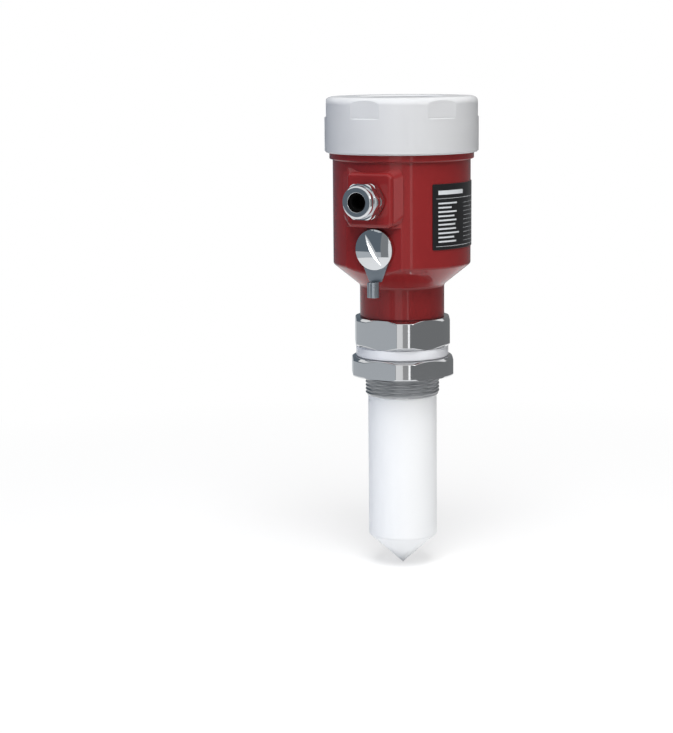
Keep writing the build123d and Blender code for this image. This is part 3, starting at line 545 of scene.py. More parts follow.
def closed_mesh(bm: bmesh.types.BMesh, merge: float = 1e-5) -> bpy.types.Mesh:
    """Turns a working mesh into a mesh whose faces point outwards.

    Args:
        bm: Working mesh, which is used up.
        merge: Distance under which two points become one.

    Returns:
        The mesh.
    """
    bmesh.ops.remove_doubles(bm, verts=bm.verts, dist=merge)
    bmesh.ops.dissolve_degenerate(bm, edges=bm.edges, dist=merge)
    bmesh.ops.recalc_face_normals(bm, faces=bm.faces)
    return plain_mesh(bm)


def joined_mesh(meshes: Iterable[bpy.types.Mesh]) -> bpy.types.Mesh:
    """One mesh out of several, which are used up."""
    return plain_mesh(working_mesh(meshes))


def folded(angle: float, pitch: float = FULL_TURN) -> float:
    """An angle in degrees brought within half a pitch of nought."""
    return (angle + pitch / 2) % pitch - pitch / 2


def arc_points(
    radius: float, start: float, end: float, count: int, at: Point = (0, 0)
) -> list[Point]:
    """Points of an arc from one angle to another, in degrees."""
    turns = [radians(start + (end - start) * k / (count - 1)) for k in range(count)]
    return [(at[0] + radius * cos(t), at[1] + radius * sin(t)) for t in turns]


def circle_points(radius: float, count: int) -> list[Point]:
    """Points of a whole circle."""
    return arc_points(radius, 0, FULL_TURN - FULL_TURN / count, count)


def box_outline(x: float, y: float, width: float, height: float) -> list[Point]:
    """Closed outline of a rectangle from its lower left corner."""
    return [(x, y), (x + width, y), (x + width, y + height), (x, y + height)]


# Limits of a rounding: the shortest side and the least bend in radians that are rounded, and
# the share of a side that one rounding may take.
LEAST_SIDE = 1e-6
LEAST_BEND = 0.01
SIDE_SHARE = 0.49


def rounded_path(corners: Sequence[Corner], steps: int = 3) -> list[Point]:
    """A closed path through corners, each rounded by its own radius.

    Args:
        corners: Radius, height and rounding of each corner.
        steps: Strips of each rounding.

    Returns:
        The same number of points for any sizes, as long as the same corners are rounded.
    """
    path: list[Point] = []
    for index, (r, z, rounding) in enumerate(corners):
        if not rounding:
            path.append((r, z))
            continue
        here = Vector((r, z))
        before = Vector(corners[index - 1][:2]) - here
        after = Vector(corners[(index + 1) % len(corners)][:2]) - here
        shorter = min(before.length, after.length)
        bend = before.angle(after) if shorter >= LEAST_SIDE else 0.0
        if not LEAST_BEND <= bend <= pi - LEAST_BEND:
            path += [(r, z)] * (steps + 1)
            continue
        reach = min(rounding / tan(bend / 2), SIDE_SHARE * shorter)
        radius = reach * tan(bend / 2)
        u, v = before.normalized(), after.normalized()
        centre = here + (u + v).normalized() * (radius / sin(bend / 2))
        a, b = here + u * reach - centre, here + v * reach - centre
        sweep = pi - bend
        for step in range(steps + 1):
            share = step / steps
            spot = centre + (a * sin((1 - share) * sweep) + b * sin(share * sweep)) / sin(sweep)
            path.append((spot.x, spot.y))
    return path


def loft(bm: bmesh.types.BMesh, rows: Iterable[Iterable[Corner]], wrap: bool = False) -> None:
    """Adds a solid through closed rows of points that all have the same count.

    Args:
        bm: Working mesh.
        rows: The rows, in order.
        wrap: True where the last row joins the first, False where both get an end face.
    """
    rings = [[bm.verts.new(spot) for spot in row] for row in rows]
    for near, far in zip(rings, rings[1:] + rings[:1] if wrap else rings[1:]):
        for k in range(len(near)):
            m = (k + 1) % len(near)
            bm.faces.new((near[k], near[m], far[m], far[k]))
    if not wrap:
        bm.faces.new(rings[0])
        bm.faces.new(rings[-1])


def add_columns(
    bm: bmesh.types.BMesh,
    column: Callable[[float], list[Point]],
    angles: Sequence[float],
    wrap: bool = True,
) -> None:
    """Adds a solid given by its outline in the half plane at each angle.

    Args:
        bm: Working mesh.
        column: Closed outline of radius and height at an angle, with a constant point count.
        angles: Angles in degrees, rising.
        wrap: True for a whole turn, False for a sector that gets two end faces.
    """
    rows = []
    for angle in angles:
        c, s = cos(radians(angle)), sin(radians(angle))
        rows.append([(r * c, r * s, z) for r, z in column(angle)])
    loft(bm, rows, wrap)


def columns_mesh(
    column: Callable[[float], list[Point]], angles: Sequence[float], wrap: bool = True
) -> bpy.types.Mesh:
    """Makes the mesh of one solid given by its outline at each angle.

    Args:
        column: Closed outline of radius and height at an angle.
        angles: Angles in degrees, rising.
        wrap: True for a whole turn, False for a sector.

    Returns:
        The mesh, in millimetres.
    """
    bm = bmesh.new()
    add_columns(bm, column, angles, wrap)
    return closed_mesh(bm)


def turned_mesh(corners: Sequence[Corner], segments: int = 192, steps: int = 3) -> bpy.types.Mesh:
    """A solid of revolution.

    Args:
        corners: Closed half section, with a rounding for each corner.
        segments: Flats round a full turn.
        steps: Strips of each rounding.

    Returns:
        The mesh, in millimetres.
    """
    path = rounded_path(corners, steps)
    return columns_mesh(lambda _: path, [FULL_TURN * k / segments for k in range(segments)])


def ring_mesh(
    radii: Point, levels: Point, roundings: Point = (0, 0), segments: int = 96, steps: int = 3
) -> bpy.types.Mesh:
    """A plain ring, or a disc where its inner radius is nought.

    Args:
        radii: Inner and outer radius.
        levels: Lower and upper face.
        roundings: Rounding of the inner and of the outer corners.
        segments: Flats round a full turn.
        steps: Strips of each rounding.

    Returns:
        The mesh, in millimetres.
    """
    (inner, outer), (low, high), (soft, round_edge) = radii, levels, roundings
    corners = [
        (inner, low, soft),
        (outer, low, round_edge),
        (outer, high, round_edge),
        (inner, high, soft),
    ]
    return turned_mesh(corners, segments, steps)


def outline_mesh(
    outlines: Sequence[Sequence[Point]], thickness: float, edge: float, place: Matrix
) -> bpy.types.Mesh:
    """A flat plate with rounded edges, cut to closed outlines.

    Args:
        outlines: The outer outline, then its holes.
        thickness: Thickness, towards the place's Z.
        edge: Rounding of the edges.
        place: Where the plate's back face goes, in millimetres.

    Returns:
        The mesh, in millimetres.
    """
    curve = bpy.data.curves.new("outline", "CURVE")
    curve.dimensions, curve.fill_mode = "2D", "BOTH"
    curve.extrude, curve.bevel_depth, curve.bevel_resolution = thickness / 2 - edge, edge, 1
    curve.offset = -edge
    for points in outlines:
        line = curve.splines.new("POLY")
        line.points.add(len(points) - 1)
        for spot, (x, y) in zip(line.points, points):
            spot.co = (x, y, 0, 1)
        line.use_cyclic_u = True
    holder = linked("outline", curve)
    mesh = evaluated_mesh(holder)
    bpy.data.objects.remove(holder)
    bpy.data.curves.remove(curve)
    mesh.transform(place @ Matrix.Translation((0, 0, thickness / 2)))
    return closed_mesh(working_mesh([mesh]), merge=1e-4)


def prism_mesh(section: Sequence[Point], length: float, place: Matrix) -> bpy.types.Mesh:
    """A bar along its place's X, half of it on each side.

    Args:
        section: Closed outline in the place's Y and Z.
        length: Length of the bar.
        place: Where it goes, in millimetres.

    Returns:
        The mesh, in millimetres.
    """
    bm = bmesh.new()
    loft(bm, [[(x, y, z) for y, z in section] for x in (-length / 2, length / 2)])
    bm.transform(place)
    return closed_mesh(bm)


def cut_mesh(
    blank: bpy.types.Object, cutter: bpy.types.Object, edge: float, crease: float
) -> bpy.types.Mesh:
    """Cuts one working object with another, breaks the new sharp edges and removes both.

    Args:
        blank: What is cut.
        cutter: What cuts it.
        edge: Width of the broken edges.
        crease: Angle in degrees above which an edge is broken.

    Returns:
        The cut mesh, in millimetres.
    """
    modifier = blank.modifiers.new("cut", "BOOLEAN")
    modifier.operation, modifier.object, modifier.solver = "DIFFERENCE", cutter, "EXACT"
    mesh = evaluated_mesh(blank)
    blank.modifiers.remove(modifier)
    for used in (blank, cutter):
        data = used.data
        bpy.data.objects.remove(used)
        bpy.data.meshes.remove(data)
    bm = working_mesh([mesh])
    bmesh.ops.dissolve_limit(bm, angle_limit=radians(0.2), verts=bm.verts, edges=bm.edges)
    sharp = [
        e for e in bm.edges if len(e.link_faces) == 2 and e.calc_face_angle(0) > radians(crease)
    ]
    bmesh.ops.bevel(
        bm, geom=sharp, offset=edge, segments=2, profile=0.6, affect="EDGES", clamp_overlap=True
    )
    return closed_mesh(bm)


def read_all(items: bpy.types.bpy_prop_collection, name: str, width: int = 1) -> np.ndarray:
    """Reads a property of all faces or all face corners.

    Args:
        items: The faces or face corners.
        name: The property.
        width: Count of numbers of each.

    Returns:
        Whole numbers, or for an area or a direction fractions, a row for each where it is wide.
    """
    kind = np.float64 if name in ("area", "normal") else np.int32
    values = np.empty(len(items) * width, kind)
    items.foreach_get(name, values)
    return values if width == 1 else values.reshape(-1, width)


def fair_normals(mesh: bpy.types.Mesh, crease: float) -> None:
    """Smooths a mesh so that broad faces keep their own direction and narrow strips blend.

    Args:
        mesh: Mesh that is shaded.
        crease: Angle in degrees above which two faces don't blend.
    """
    faces = mesh.polygons
    faces.foreach_set("use_smooth", np.ones(len(faces), bool))
    corner_vertex = read_all(mesh.loops, "vertex_index")
    area, normal = read_all(faces, "area"), read_all(faces, "normal", 3)
    corner_face = np.repeat(np.arange(len(faces)), read_all(faces, "loop_total"))
    order = np.argsort(corner_vertex, kind="stable")
    sorted_vertex = corner_vertex[order]
    begin = np.searchsorted(sorted_vertex, corner_vertex, "left")
    end = np.searchsorted(sorted_vertex, corner_vertex, "right")
    own = normal[corner_face]
    summed = np.zeros_like(own)
    for offset in range(int((end - begin).max(initial=0))):
        live = begin + offset < end
        other = corner_face[order[np.where(live, begin + offset, 0)]]
        near = np.einsum("ij,ij->i", own, normal[other]) > cos(radians(crease))
        weight = np.where(live & near, area[other], 0.0)
        summed += normal[other] * weight[:, None]
    length, tiny = np.linalg.norm(summed, axis=1, keepdims=True), 1e-12
    summed = np.where(length > tiny, summed / np.maximum(length, tiny), own)
    mesh.normals_split_custom_set(summed)


def piece(
    name: str,
    mesh: bpy.types.Mesh,
    finish: Finish,
    body: str,
    replaced: Iterable[str] = (),
    place: Matrix | None = None,
    crease: float = 35.0,
) -> None:
    """Makes a finished piece of the sensor, its object at the origin and its place in its mesh.

    Args:
        name: The piece's name.
        mesh: Its mesh, in millimetres.
        finish: Its finish.
        body: CAD body that it rides on.
        replaced: CAD nodes that it stands for.
        place: Where it goes, in millimetres.
        crease: Angle in degrees above which two faces don't blend.
    """
    mesh.name = name
    mesh.transform(Matrix.Scale(MM, 4) @ (place or Matrix.Identity(4)))
    mesh.materials.clear()
    mesh.materials.append(finish.material())
    fair_normals(mesh, crease)
    made = linked(name, mesh)
    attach(made, body)
    if replaced:
        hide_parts(*replaced)
    log.info("piece %s on %s: %d faces", name, body, len(mesh.polygons))


# Repeated forms

HEX_PITCH = FULL_TURN / 6


@dataclass(frozen=True)
class Hexagon:
    """Flats milled on a turned blank, the first flat facing the piece's own Y.

    A chamfer is its width across the end face and its height along the side.
    """

    across_flats: float
    turned_radius: float
    low_chamfer: Point
    high_chamfer: Point
    rounding: float
    edge_angle: float = 0.35

    @property
    def corner_angle(self) -> float:
        """Angle from the middle of a flat to where the turned blank shows, in degrees."""
        return degrees(acos(self.across_flats / 2 / self.turned_radius))

    def reach(self, angle: float) -> float:
        """Distance from the axis to the surface at an angle in degrees."""
        off = folded(angle - 90, HEX_PITCH)
        return min(self.turned_radius, self.across_flats / 2 / cos(radians(off)))

    def angles(self, step: float = 2.0) -> list[float]:
        """Angles of the columns, closer together at the edges of the flats.

        Args:
            step: Widest step between two columns, in degrees.

        Returns:
            Angles in degrees, rising.
        """
        corner, edge, half = self.corner_angle, self.edge_angle, HEX_PITCH / 2
        flats, band = int(corner / step), max(1, int((half - corner) / step))
        offs = {0.0, corner - edge, corner + edge}
        offs |= {k * corner / flats for k in range(1, flats)}
        offs |= {corner + (half - corner) * k / band for k in range(1, band)}
        offs |= {-off for off in offs} | {-half}
        return sorted((90 + HEX_PITCH * n + off) % FULL_TURN for n in range(6) for off in offs)

    def side(self, angle: float, low: float, high: float) -> list[Corner]:
        """Corners of the milled side, from its lower end face to its upper one.

        Args:
            angle: Angle of the column in degrees.
            low: Level of the lower end face.
            high: Level of the upper end face.

        Returns:
            The inner and the outer corner of the lower chamfer, then those of the upper one.
        """
        below = self._chamfer(angle, low, *self.low_chamfer)
        above = self._chamfer(angle, high, self.high_chamfer[0], -self.high_chamfer[1])
        return [*below, *reversed(above)]

    def _chamfer(self, angle: float, level: float, wide: float, rise: float) -> list[Corner]:
        """A turned chamfer, cut back to the flats.

        Args:
            angle: Angle of the column in degrees.
            level: Level of the end face.
            wide: Width across the end face.
            rise: Height along the side, or below nought where it goes down.

        Returns:
            The inner and the outer corner.
        """
        reach, inner = self.reach(angle), self.turned_radius - wide
        height = level + max((reach - inner) / wide, 0.0) * rise
        return [(min(inner, reach), level, self.rounding), (reach, height, self.rounding)]


class NodeForm(ABC):
    """A form that Geometry Nodes lay round a turned piece, from sizes named as its fields."""

    label: ClassVar[str]
    finish: ClassVar[Finish]

    def sizes(self) -> dict[str, float]:
        """The size for each named input, whole numbers for counts."""
        return {name.replace("_", " ").capitalize(): n for name, n in asdict(self).items()}

    @abstractmethod
    def lay(self, graph: Graph, size: dict[str, Value]) -> bpy.types.Node:
        """Adds the nodes that make the form.

        Args:
            graph: The tree that all forms of the kind share.
            size: Its inputs by name.

        Returns:
            The node whose first output is the bare form.
        """

    @staticmethod
    def bent(
        graph: Graph, geometry: bpy.types.Node, radius: Value, angle: Value, height: Value
    ) -> bpy.types.Node:
        """Moves the points of a geometry round the Z axis.

        Args:
            graph: The tree.
            geometry: What is bent.
            radius: Distance of each point from the axis.
            angle: Turn of each point in radians.
            height: Level of each point.

        Returns:
            The node that gives the bent form.
        """
        across, along = radius * angle.maths("COSINE"), radius * angle.maths("SINE")
        spot = graph.vector(X=across, Y=along, Z=height)
        return graph.node("GeometryNodeSetPosition", {"Geometry": geometry, "Position": spot})

    def mesh(self) -> bpy.types.Mesh:
        """Bakes the form.

        Returns:
            The mesh, in millimetres.
        """
        sizes = self.sizes()
        tree = bpy.data.node_groups.get(self.label) or self._new_tree(sizes)
        base = bpy.data.meshes.new(self.label)
        holder = linked(self.label, base)
        modifier = holder.modifiers.new(self.label, "NODES")
        modifier.node_group = tree
        for item in tree.interface.items_tree:
            if item.in_out == "INPUT":
                modifier[item.identifier] = sizes[item.name]
        mesh = evaluated_mesh(holder)
        holder.modifiers.remove(modifier)
        bpy.data.objects.remove(holder)
        bpy.data.meshes.remove(base)
        return mesh

    def _new_tree(self, sizes: dict[str, float]) -> bpy.types.NodeTree:
        """Makes the tree that all forms of this kind share.

        Args:
            sizes: The sizes that get an input, by name.

        Returns:
            The tree.
        """
        tree = bpy.data.node_groups.new(self.label, "GeometryNodeTree")
        graph, ports = Graph(tree), tree.interface
        ports.new_socket("Geometry", in_out="OUTPUT", socket_type="NodeSocketGeometry")
        for name, size in sizes.items():
            kind = "NodeSocketInt" if isinstance(size, int) else "NodeSocketFloat"
            ports.new_socket(name, in_out="INPUT", socket_type=kind)
        given = graph.node("NodeGroupInput")
        form = self.lay(graph, {name: graph.value(given, name) for name in sizes})
        real = graph.node("GeometryNodeRealizeInstances", {"Geometry": form})
        sockets = {"Geometry": real, "Material": self.finish.material()}
        dressed = graph.node("GeometryNodeSetMaterial", sockets)
        graph.node("NodeGroupOutput", {"Geometry": dressed})
        return tree


@dataclass(frozen=True)
class Thread(NodeForm):
    """A screw thread round the Z axis, on a grid of columns and rows that is bent round it."""

    radius: float
    depth: float
    pitch: float
    start: float
    length: float
    inner: float
    lead: float = 0.8
    columns: int = 145
    rows_per_pitch: int = 12

    label: ClassVar[str] = "screw_thread"
    finish: ClassVar[Finish] = Palette.stainless
    core_gap: ClassVar[float] = 0.1
    root_share: ClassVar[float] = 0.14
    flank_share: ClassVar[float] = 0.72
    merge: ClassVar[float] = 1e-4

    @property
    def core(self) -> float:
        """Radius of the piece's own core, just inside the root of the thread."""
        return self.radius - self.depth - self.core_gap

    def sizes(self) -> dict[str, float]:
        """Works out the count of rows from the rows for each pitch.

        Returns:
            The size for each named input.
        """
        sizes = super().sizes()
        rows = int(self.length / self.pitch * sizes.pop("Rows per pitch")) + 3
        return {**sizes, "Rows": rows}

    def lay(self, graph: Graph, size: dict[str, Value]) -> bpy.types.Node:
        """Bends a grid into the thread, with its ends turned in to the inner radius.

        Args:
            graph: The tree that all threads share.
            size: Its inputs by name.

        Returns:
            The node that gives the thread.
        """
        sockets = {"Size X": 1.0, "Size Y": 1.0, "Vertices X": size["Columns"]}
        grid = graph.node("GeometryNodeMeshGrid", {**sockets, "Vertices Y": size["Rows"]})
        x, y, _ = graph.split(graph.node("GeometryNodeInputPosition"))
        turn = x + 0.5
        overrun = size["Length"] / size["Rows"]
        along = (y + 0.5) * (size["Length"] + overrun * 2.0) - overrun
        height = along.clamped(0.0, size["Length"])
        phase = (height / size["Pitch"] - turn).maths("FRACT")
        rise = (phase - 0.5).maths("ABSOLUTE") * 2.0
        ridge = ((rise - self.root_share) / self.flank_share).clamped()
        radius = size["Radius"] - size["Depth"] * (1.0 - ridge)
        slope = size["Radius"] - size["Lead"]
        radius = radius.maths("MINIMUM", slope + height)
        radius = radius.maths("MINIMUM", slope + (size["Length"] - height))
        outside = (along < -self.merge) + (along > size["Length"] + self.merge)
        radius = radius * (1.0 - outside) + size["Inner"] * outside
        bent = self.bent(graph, grid, radius, turn * (2 * pi), height + size["Start"])
        sockets = {"Geometry": bent, "Distance": self.merge}
        return graph.node("GeometryNodeMergeByDistance", sockets)


@dataclass(frozen=True)
class Rulings(NodeForm):
    """Rows of thin printed bars on a drum's +X side, from the highest row downwards."""

    radius: float
    height: float
    rows: int
    row_pitch: float
    length: float
    thickness: float
    start: float = 0.0
    relief: float = 0.04
    spread: float = 0.0
    seed: int = 3

    label: ClassVar[str] = "rulings"
    finish: ClassVar[Finish] = Palette.print_pale

    def lay(self, graph: Graph, size: dict[str, Value]) -> bpy.types.Node:
        """Sets a bar at each row, then bends the rows round the drum.

        Args:
            graph: The tree that all rulings share.
            size: Its inputs by name.

        Returns:
            The node that gives the bars.
        """
        sockets = {
            "Count": size["Rows"],
            "Start Location": graph.vector(Z=size["Height"]),
            "Offset": graph.vector(Z=size["Row pitch"] * -1.0),
        }
        line = graph.node("GeometryNodeMeshLine", sockets)
        sockets = {"Size": (1.0, 1.0, 1.0), "Vertices X": 2, "Vertices Y": 24, "Vertices Z": 2}
        bar = graph.node("GeometryNodeMeshCube", sockets)
        sockets = {2: 0.0, 3: 1.0, "Seed": size["Seed"]}
        chance = graph.node("FunctionNodeRandomValue", sockets, data_type="FLOAT")
        length = size["Length"] * (1.0 - size["Spread"] * graph.value(chance, 1))
        scale = graph.vector(X=size["Relief"], Y=length, Z=size["Thickness"])
        sockets = {"Points": line, "Instance": bar, "Scale": scale}
        bars = graph.node("GeometryNodeInstanceOnPoints", sockets)
        middle = graph.vector(Y=size["Start"] + length / 2.0)
        sockets = {"Instances": bars, "Translation": middle, "Local Space": False}
        shifted = graph.node("GeometryNodeTranslateInstances", sockets)
        real = graph.node("GeometryNodeRealizeInstances", {"Geometry": shifted})
        x, y, z = graph.split(graph.node("GeometryNodeInputPosition"))
        return self.bent(graph, real, size["Radius"] + x, y / size["Radius"], z)


# Sub-assemblies. A corner of an outline is its radius, its height and its rounding.


@dataclass
class AntennaTube:
    """White plastic tube with a conical tip."""

    radius: float = 22.25
    bore: float = 16.5
    neck: float = 20.0
    tip: float = -126.0
    shoulder: float = -106.0
    top: float = -13.4
    neck_top: float = 9.6
    tip_wall: float = 7.0

    def build(self) -> None:
        """Turns the tube."""
        corners = [
            (0, self.tip, 0),
            (self.radius, self.shoulder, 2.0),
            (self.radius, self.top, 0.2),
            (self.neck, self.top, 0),
            (self.neck, self.neck_top, 0),
            (self.bore, self.neck_top, 0),
            (self.bore, self.shoulder, 0),
            (0, self.tip + self.tip_wall, 0),
        ]
        mesh = turned_mesh(corners, steps=6)
        piece("antenna_tube_turned", mesh, Palette.fluoroplastic, "fitting", ["antenna_tube"])


@dataclass
class ProcessFitting:
    """Hexagon with its threaded shank below and its spigot above."""

    hexagon: Hexagon = Hexagon(60.0, 31.95, (1.9, 1.6), (1.9, 1.6), 0.8)
    hex_bottom: float = 19.0
    hex_top: float = 37.8
    shank_bore: float = 20.05
    shank_end: float = -13.2
    taper_bottom: float = 9.9
    taper_top: float = 39.9
    spigot_radius: float = 21.0
    spigot_top: float = 66.0
    spigot_bore: float = 17.0
    thread: Thread = Thread(23.9, 0.7, 2.309, -13.4, 25.2, 20.05, 1.4, 181, 12)

    def column(self, angle: float) -> list[Point]:
        """Outline at an angle.

        Args:
            angle: Angle in degrees.

        Returns:
            Radius and height of each point, closed.
        """
        return rounded_path([
            (self.shank_bore, self.shank_end, 0),
            (self.thread.core, self.shank_end, 0),
            (self.thread.core, self.hex_bottom, 0),
            *self.hexagon.side(angle, self.hex_bottom, self.hex_top),
            (self.spigot_radius, self.hex_top, 0),
            (self.spigot_radius, self.spigot_top, 0),
            (self.spigot_bore, self.spigot_top, 0),
            (self.spigot_bore, self.taper_top, 0),
            (self.shank_bore, self.taper_bottom, 0),
        ])

    def build(self) -> None:
        """Builds the fitting and its thread."""
        mesh = columns_mesh(self.column, self.hexagon.angles())
        piece("fitting_hexagon", mesh, Palette.stainless, "fitting", ["process_fitting"])
        mesh, slot = self.thread.mesh(), Palette.stainless
        # The thread's darker steel is painted shade under the lock nut.
        piece("process_thread", mesh, Palette.rolled, "fitting", crease=20.0)


@dataclass
class SealRing:
    """White ring between the hexagon and the lock nut."""

    radii: Point = (24.2, 29.8)
    levels: Point = (12.0, 19.0)
    roundings: Point = (0.3, 0.8)

    def build(self) -> None:
        """Turns the ring."""
        mesh = ring_mesh(self.radii, self.levels, self.roundings, segments=192, steps=5)
        # The ring's finish is a darker copy of the tube's fluoroplastic, painted shade under the
        # hexagon.
        finish, slot = Palette.shaded_fluoroplastic, Palette.fluoroplastic
        piece("seal_ring_turned", mesh, finish, "seal_ring", ["seal_ring"])


@dataclass
class LockNut:
    """Hexagonal lock nut on the process thread."""

    hexagon: Hexagon = Hexagon(64.4, 34.1, (0.6, 0.75), (2.4, 1.5), 0.8)
    height: float = 12.0
    bore: float = 23.96
    countersink: float = 1.3

    def column(self, angle: float) -> list[Point]:
        """Outline at an angle.

        Args:
            angle: Angle in degrees.

        Returns:
            Radius and height of each point, closed.
        """
        mouth = self.bore + self.countersink
        return rounded_path([
            (mouth, 0, 0.2),
            *self.hexagon.side(angle, 0, self.height),
            (mouth, self.height, 0.2),
            (self.bore, self.height - self.countersink, 0),
            (self.bore, self.countersink, 0),
        ])

    def build(self) -> None:
        """Builds the nut."""
        mesh = columns_mesh(self.column, self.hexagon.angles())
        piece("lock_nut_milled", mesh, Palette.stainless, "lock_nut", ["lock_nut"])


@dataclass(frozen=True)
class Boss:
    """Flat rectangular boss of a cable entry."""

    width: float = 32.0
    bottom: float = 98.1
    top: float = 132.5
    face: float = 46.0
    back: float = 40.0
    corner: float = 4.0
    edge: float = 2.6
    draft: float = 5.0
    steps: int = 8
    least_corner: float = 0.2
    corner_points: int = 7

    def outline(self, inset: float) -> list[Point]:
        """Rounded rectangle drawn in from the boss's own outline.

        Args:
            inset: How far in, or below nought how far out, but never down over the flat.

        Returns:
            Points, anticlockwise.
        """
        radius = max(self.corner - inset, self.least_corner)
        across = self.width / 2 - inset - radius
        low, high = self.bottom + max(inset, 0.0) + radius, self.top - inset - radius
        spots = ((across, low), (across, high), (-across, high), (-across, low))
        points: list[Point] = []
        for start, spot in zip((-90, 0, 90, 180), spots):
            points += arc_points(radius, start, start + 90, self.corner_points, spot)
        return points

    def add(self, bm: bmesh.types.BMesh, side: Side) -> None:
        """Adds the boss to a working mesh.

        Args:
            bm: Working mesh.
            side: Side of the housing.
        """
        layers = [(self.back, -self.draft)]
        for k in range(self.steps + 1):
            turn = pi / 2 * k / self.steps
            reach, inset = self.face - self.edge * (1 - sin(turn)), self.edge * (1 - cos(turn))
            layers.append((reach, inset))
        loft(bm, [
            [(x, side.value * reach, z) for x, z in self.outline(inset)]
            for reach, inset in layers
        ])


# Degrees between two columns of a casting, and the least from a column to a flat's edge.
COLUMN_STEP = 1.5
EDGE_GAP = 0.9


def flat_angles(edge: float, strip: float, pitch: float = FULL_TURN) -> set[float]:
    """Even angles round the middle of a flat, with narrow strips at its edges.

    Args:
        edge: Angle from the middle of the flat to its edge, in degrees.
        strip: Width of the strips in degrees.
        pitch: Angle that the flat shares out, in degrees.

    Returns:
        The angles in degrees.
    """
    limit = int(pitch / 2 / COLUMN_STEP)
    even = {k * COLUMN_STEP for k in range(-limit, limit)}
    edges = {side * (edge + move) for side in (-1, 1) for move in (-strip, 0.0, strip)}
    return edges | {off for off in even if abs(abs(off) - edge) > EDGE_GAP}


@dataclass
class Housing:
    """Red cast housing: neck, cone, drum with a flat, ledge and threaded rim."""

    neck: float = 27.15
    neck_bore: float = 21.06
    neck_bottom: float = 37.8
    cone_bottom: float = 58.5
    body: float = 44.0
    body_bottom: float = 72.1
    body_top: float = 139.0
    ledge: float = 46.1
    ledge_top: float = 143.1
    rim_root: float = 42.0
    rim_top: float = 163.0
    groove: Corner = (40.0, 143.62, 147.38)
    cavity: float = 38.0
    shoulder: float = 101.0
    lower_cavity: float = 33.0
    lower_cavity_bottom: float = 70.0
    floor: float = 62.0
    floor_radius: float = 24.0
    flat_reach: float = 39.5
    flat_top: float = 98.1
    flat_half_angle: float = 80.0
    edge_strip: float = 0.5
    boss: Boss = Boss()
    rim_thread: Thread = Thread(43.0, 0.95, 2.0, 147.5, 15.6, 41.0, 1.0, 241, 10)

    def reach(self, angle: float) -> float:
        """Distance from the axis to the drum below the boss, flat included.

        Args:
            angle: Angle in degrees.

        Returns:
            The distance.
        """
        off = folded(angle + 90)
        if abs(off) >= self.flat_half_angle:
            return self.body
        return min(self.body, self.flat_reach / cos(radians(off)))

    def column(self, angle: float) -> list[Point]:
        """Outline at an angle.

        Args:
            angle: Angle in degrees.

        Returns:
            Radius and height of each point, closed.
        """
        reach = self.reach(angle)
        slope = (self.body_bottom - self.cone_bottom) / (self.body - self.neck)
        groove_radius, groove_low, groove_high = self.groove
        corners = [
            (self.neck_bore, self.neck_bottom, 0),
            (self.neck, self.neck_bottom, 0.5),
            (self.neck, self.cone_bottom, 3.0),
            (reach, self.cone_bottom + (reach - self.neck) * slope, 2.2),
            (reach, self.flat_top, 0.3),
            (self.body, self.flat_top, 0.3),
            (self.body, self.body_top, 0.8),
            (self.ledge, self.body_top, 0.6),
            (self.ledge, self.ledge_top, 0.4),
            (self.rim_root, self.ledge_top, 0),
            (self.rim_root, groove_low, 0),
            (groove_radius, groove_low, 0),
            (groove_radius, groove_high, 0),
            (self.rim_root, groove_high, 0),
            (self.rim_root, self.rim_top, 0),
            (self.cavity, self.rim_top, 0),
            (self.cavity, self.shoulder, 0),
            (self.lower_cavity, self.shoulder, 0),
            (self.lower_cavity, self.lower_cavity_bottom, 0),
            (self.floor_radius, self.floor, 0),
            (self.neck_bore, self.floor, 0),
        ]
        return rounded_path(corners, steps=5)

    def build(self) -> None:
        """Builds the housing and its rim's thread."""
        edge = degrees(acos(self.flat_reach / self.body))
        angles = sorted((off - 90) % FULL_TURN for off in flat_angles(edge, self.edge_strip))
        bm = bmesh.new()
        add_columns(bm, self.column, angles)
        for side in Side:
            self.boss.add(bm, side)
        piece("housing_cast", closed_mesh(bm), Palette.red, "housing", ["housing"])
        piece("rim_thread", self.rim_thread.mesh(), Palette.aluminium, "housing")


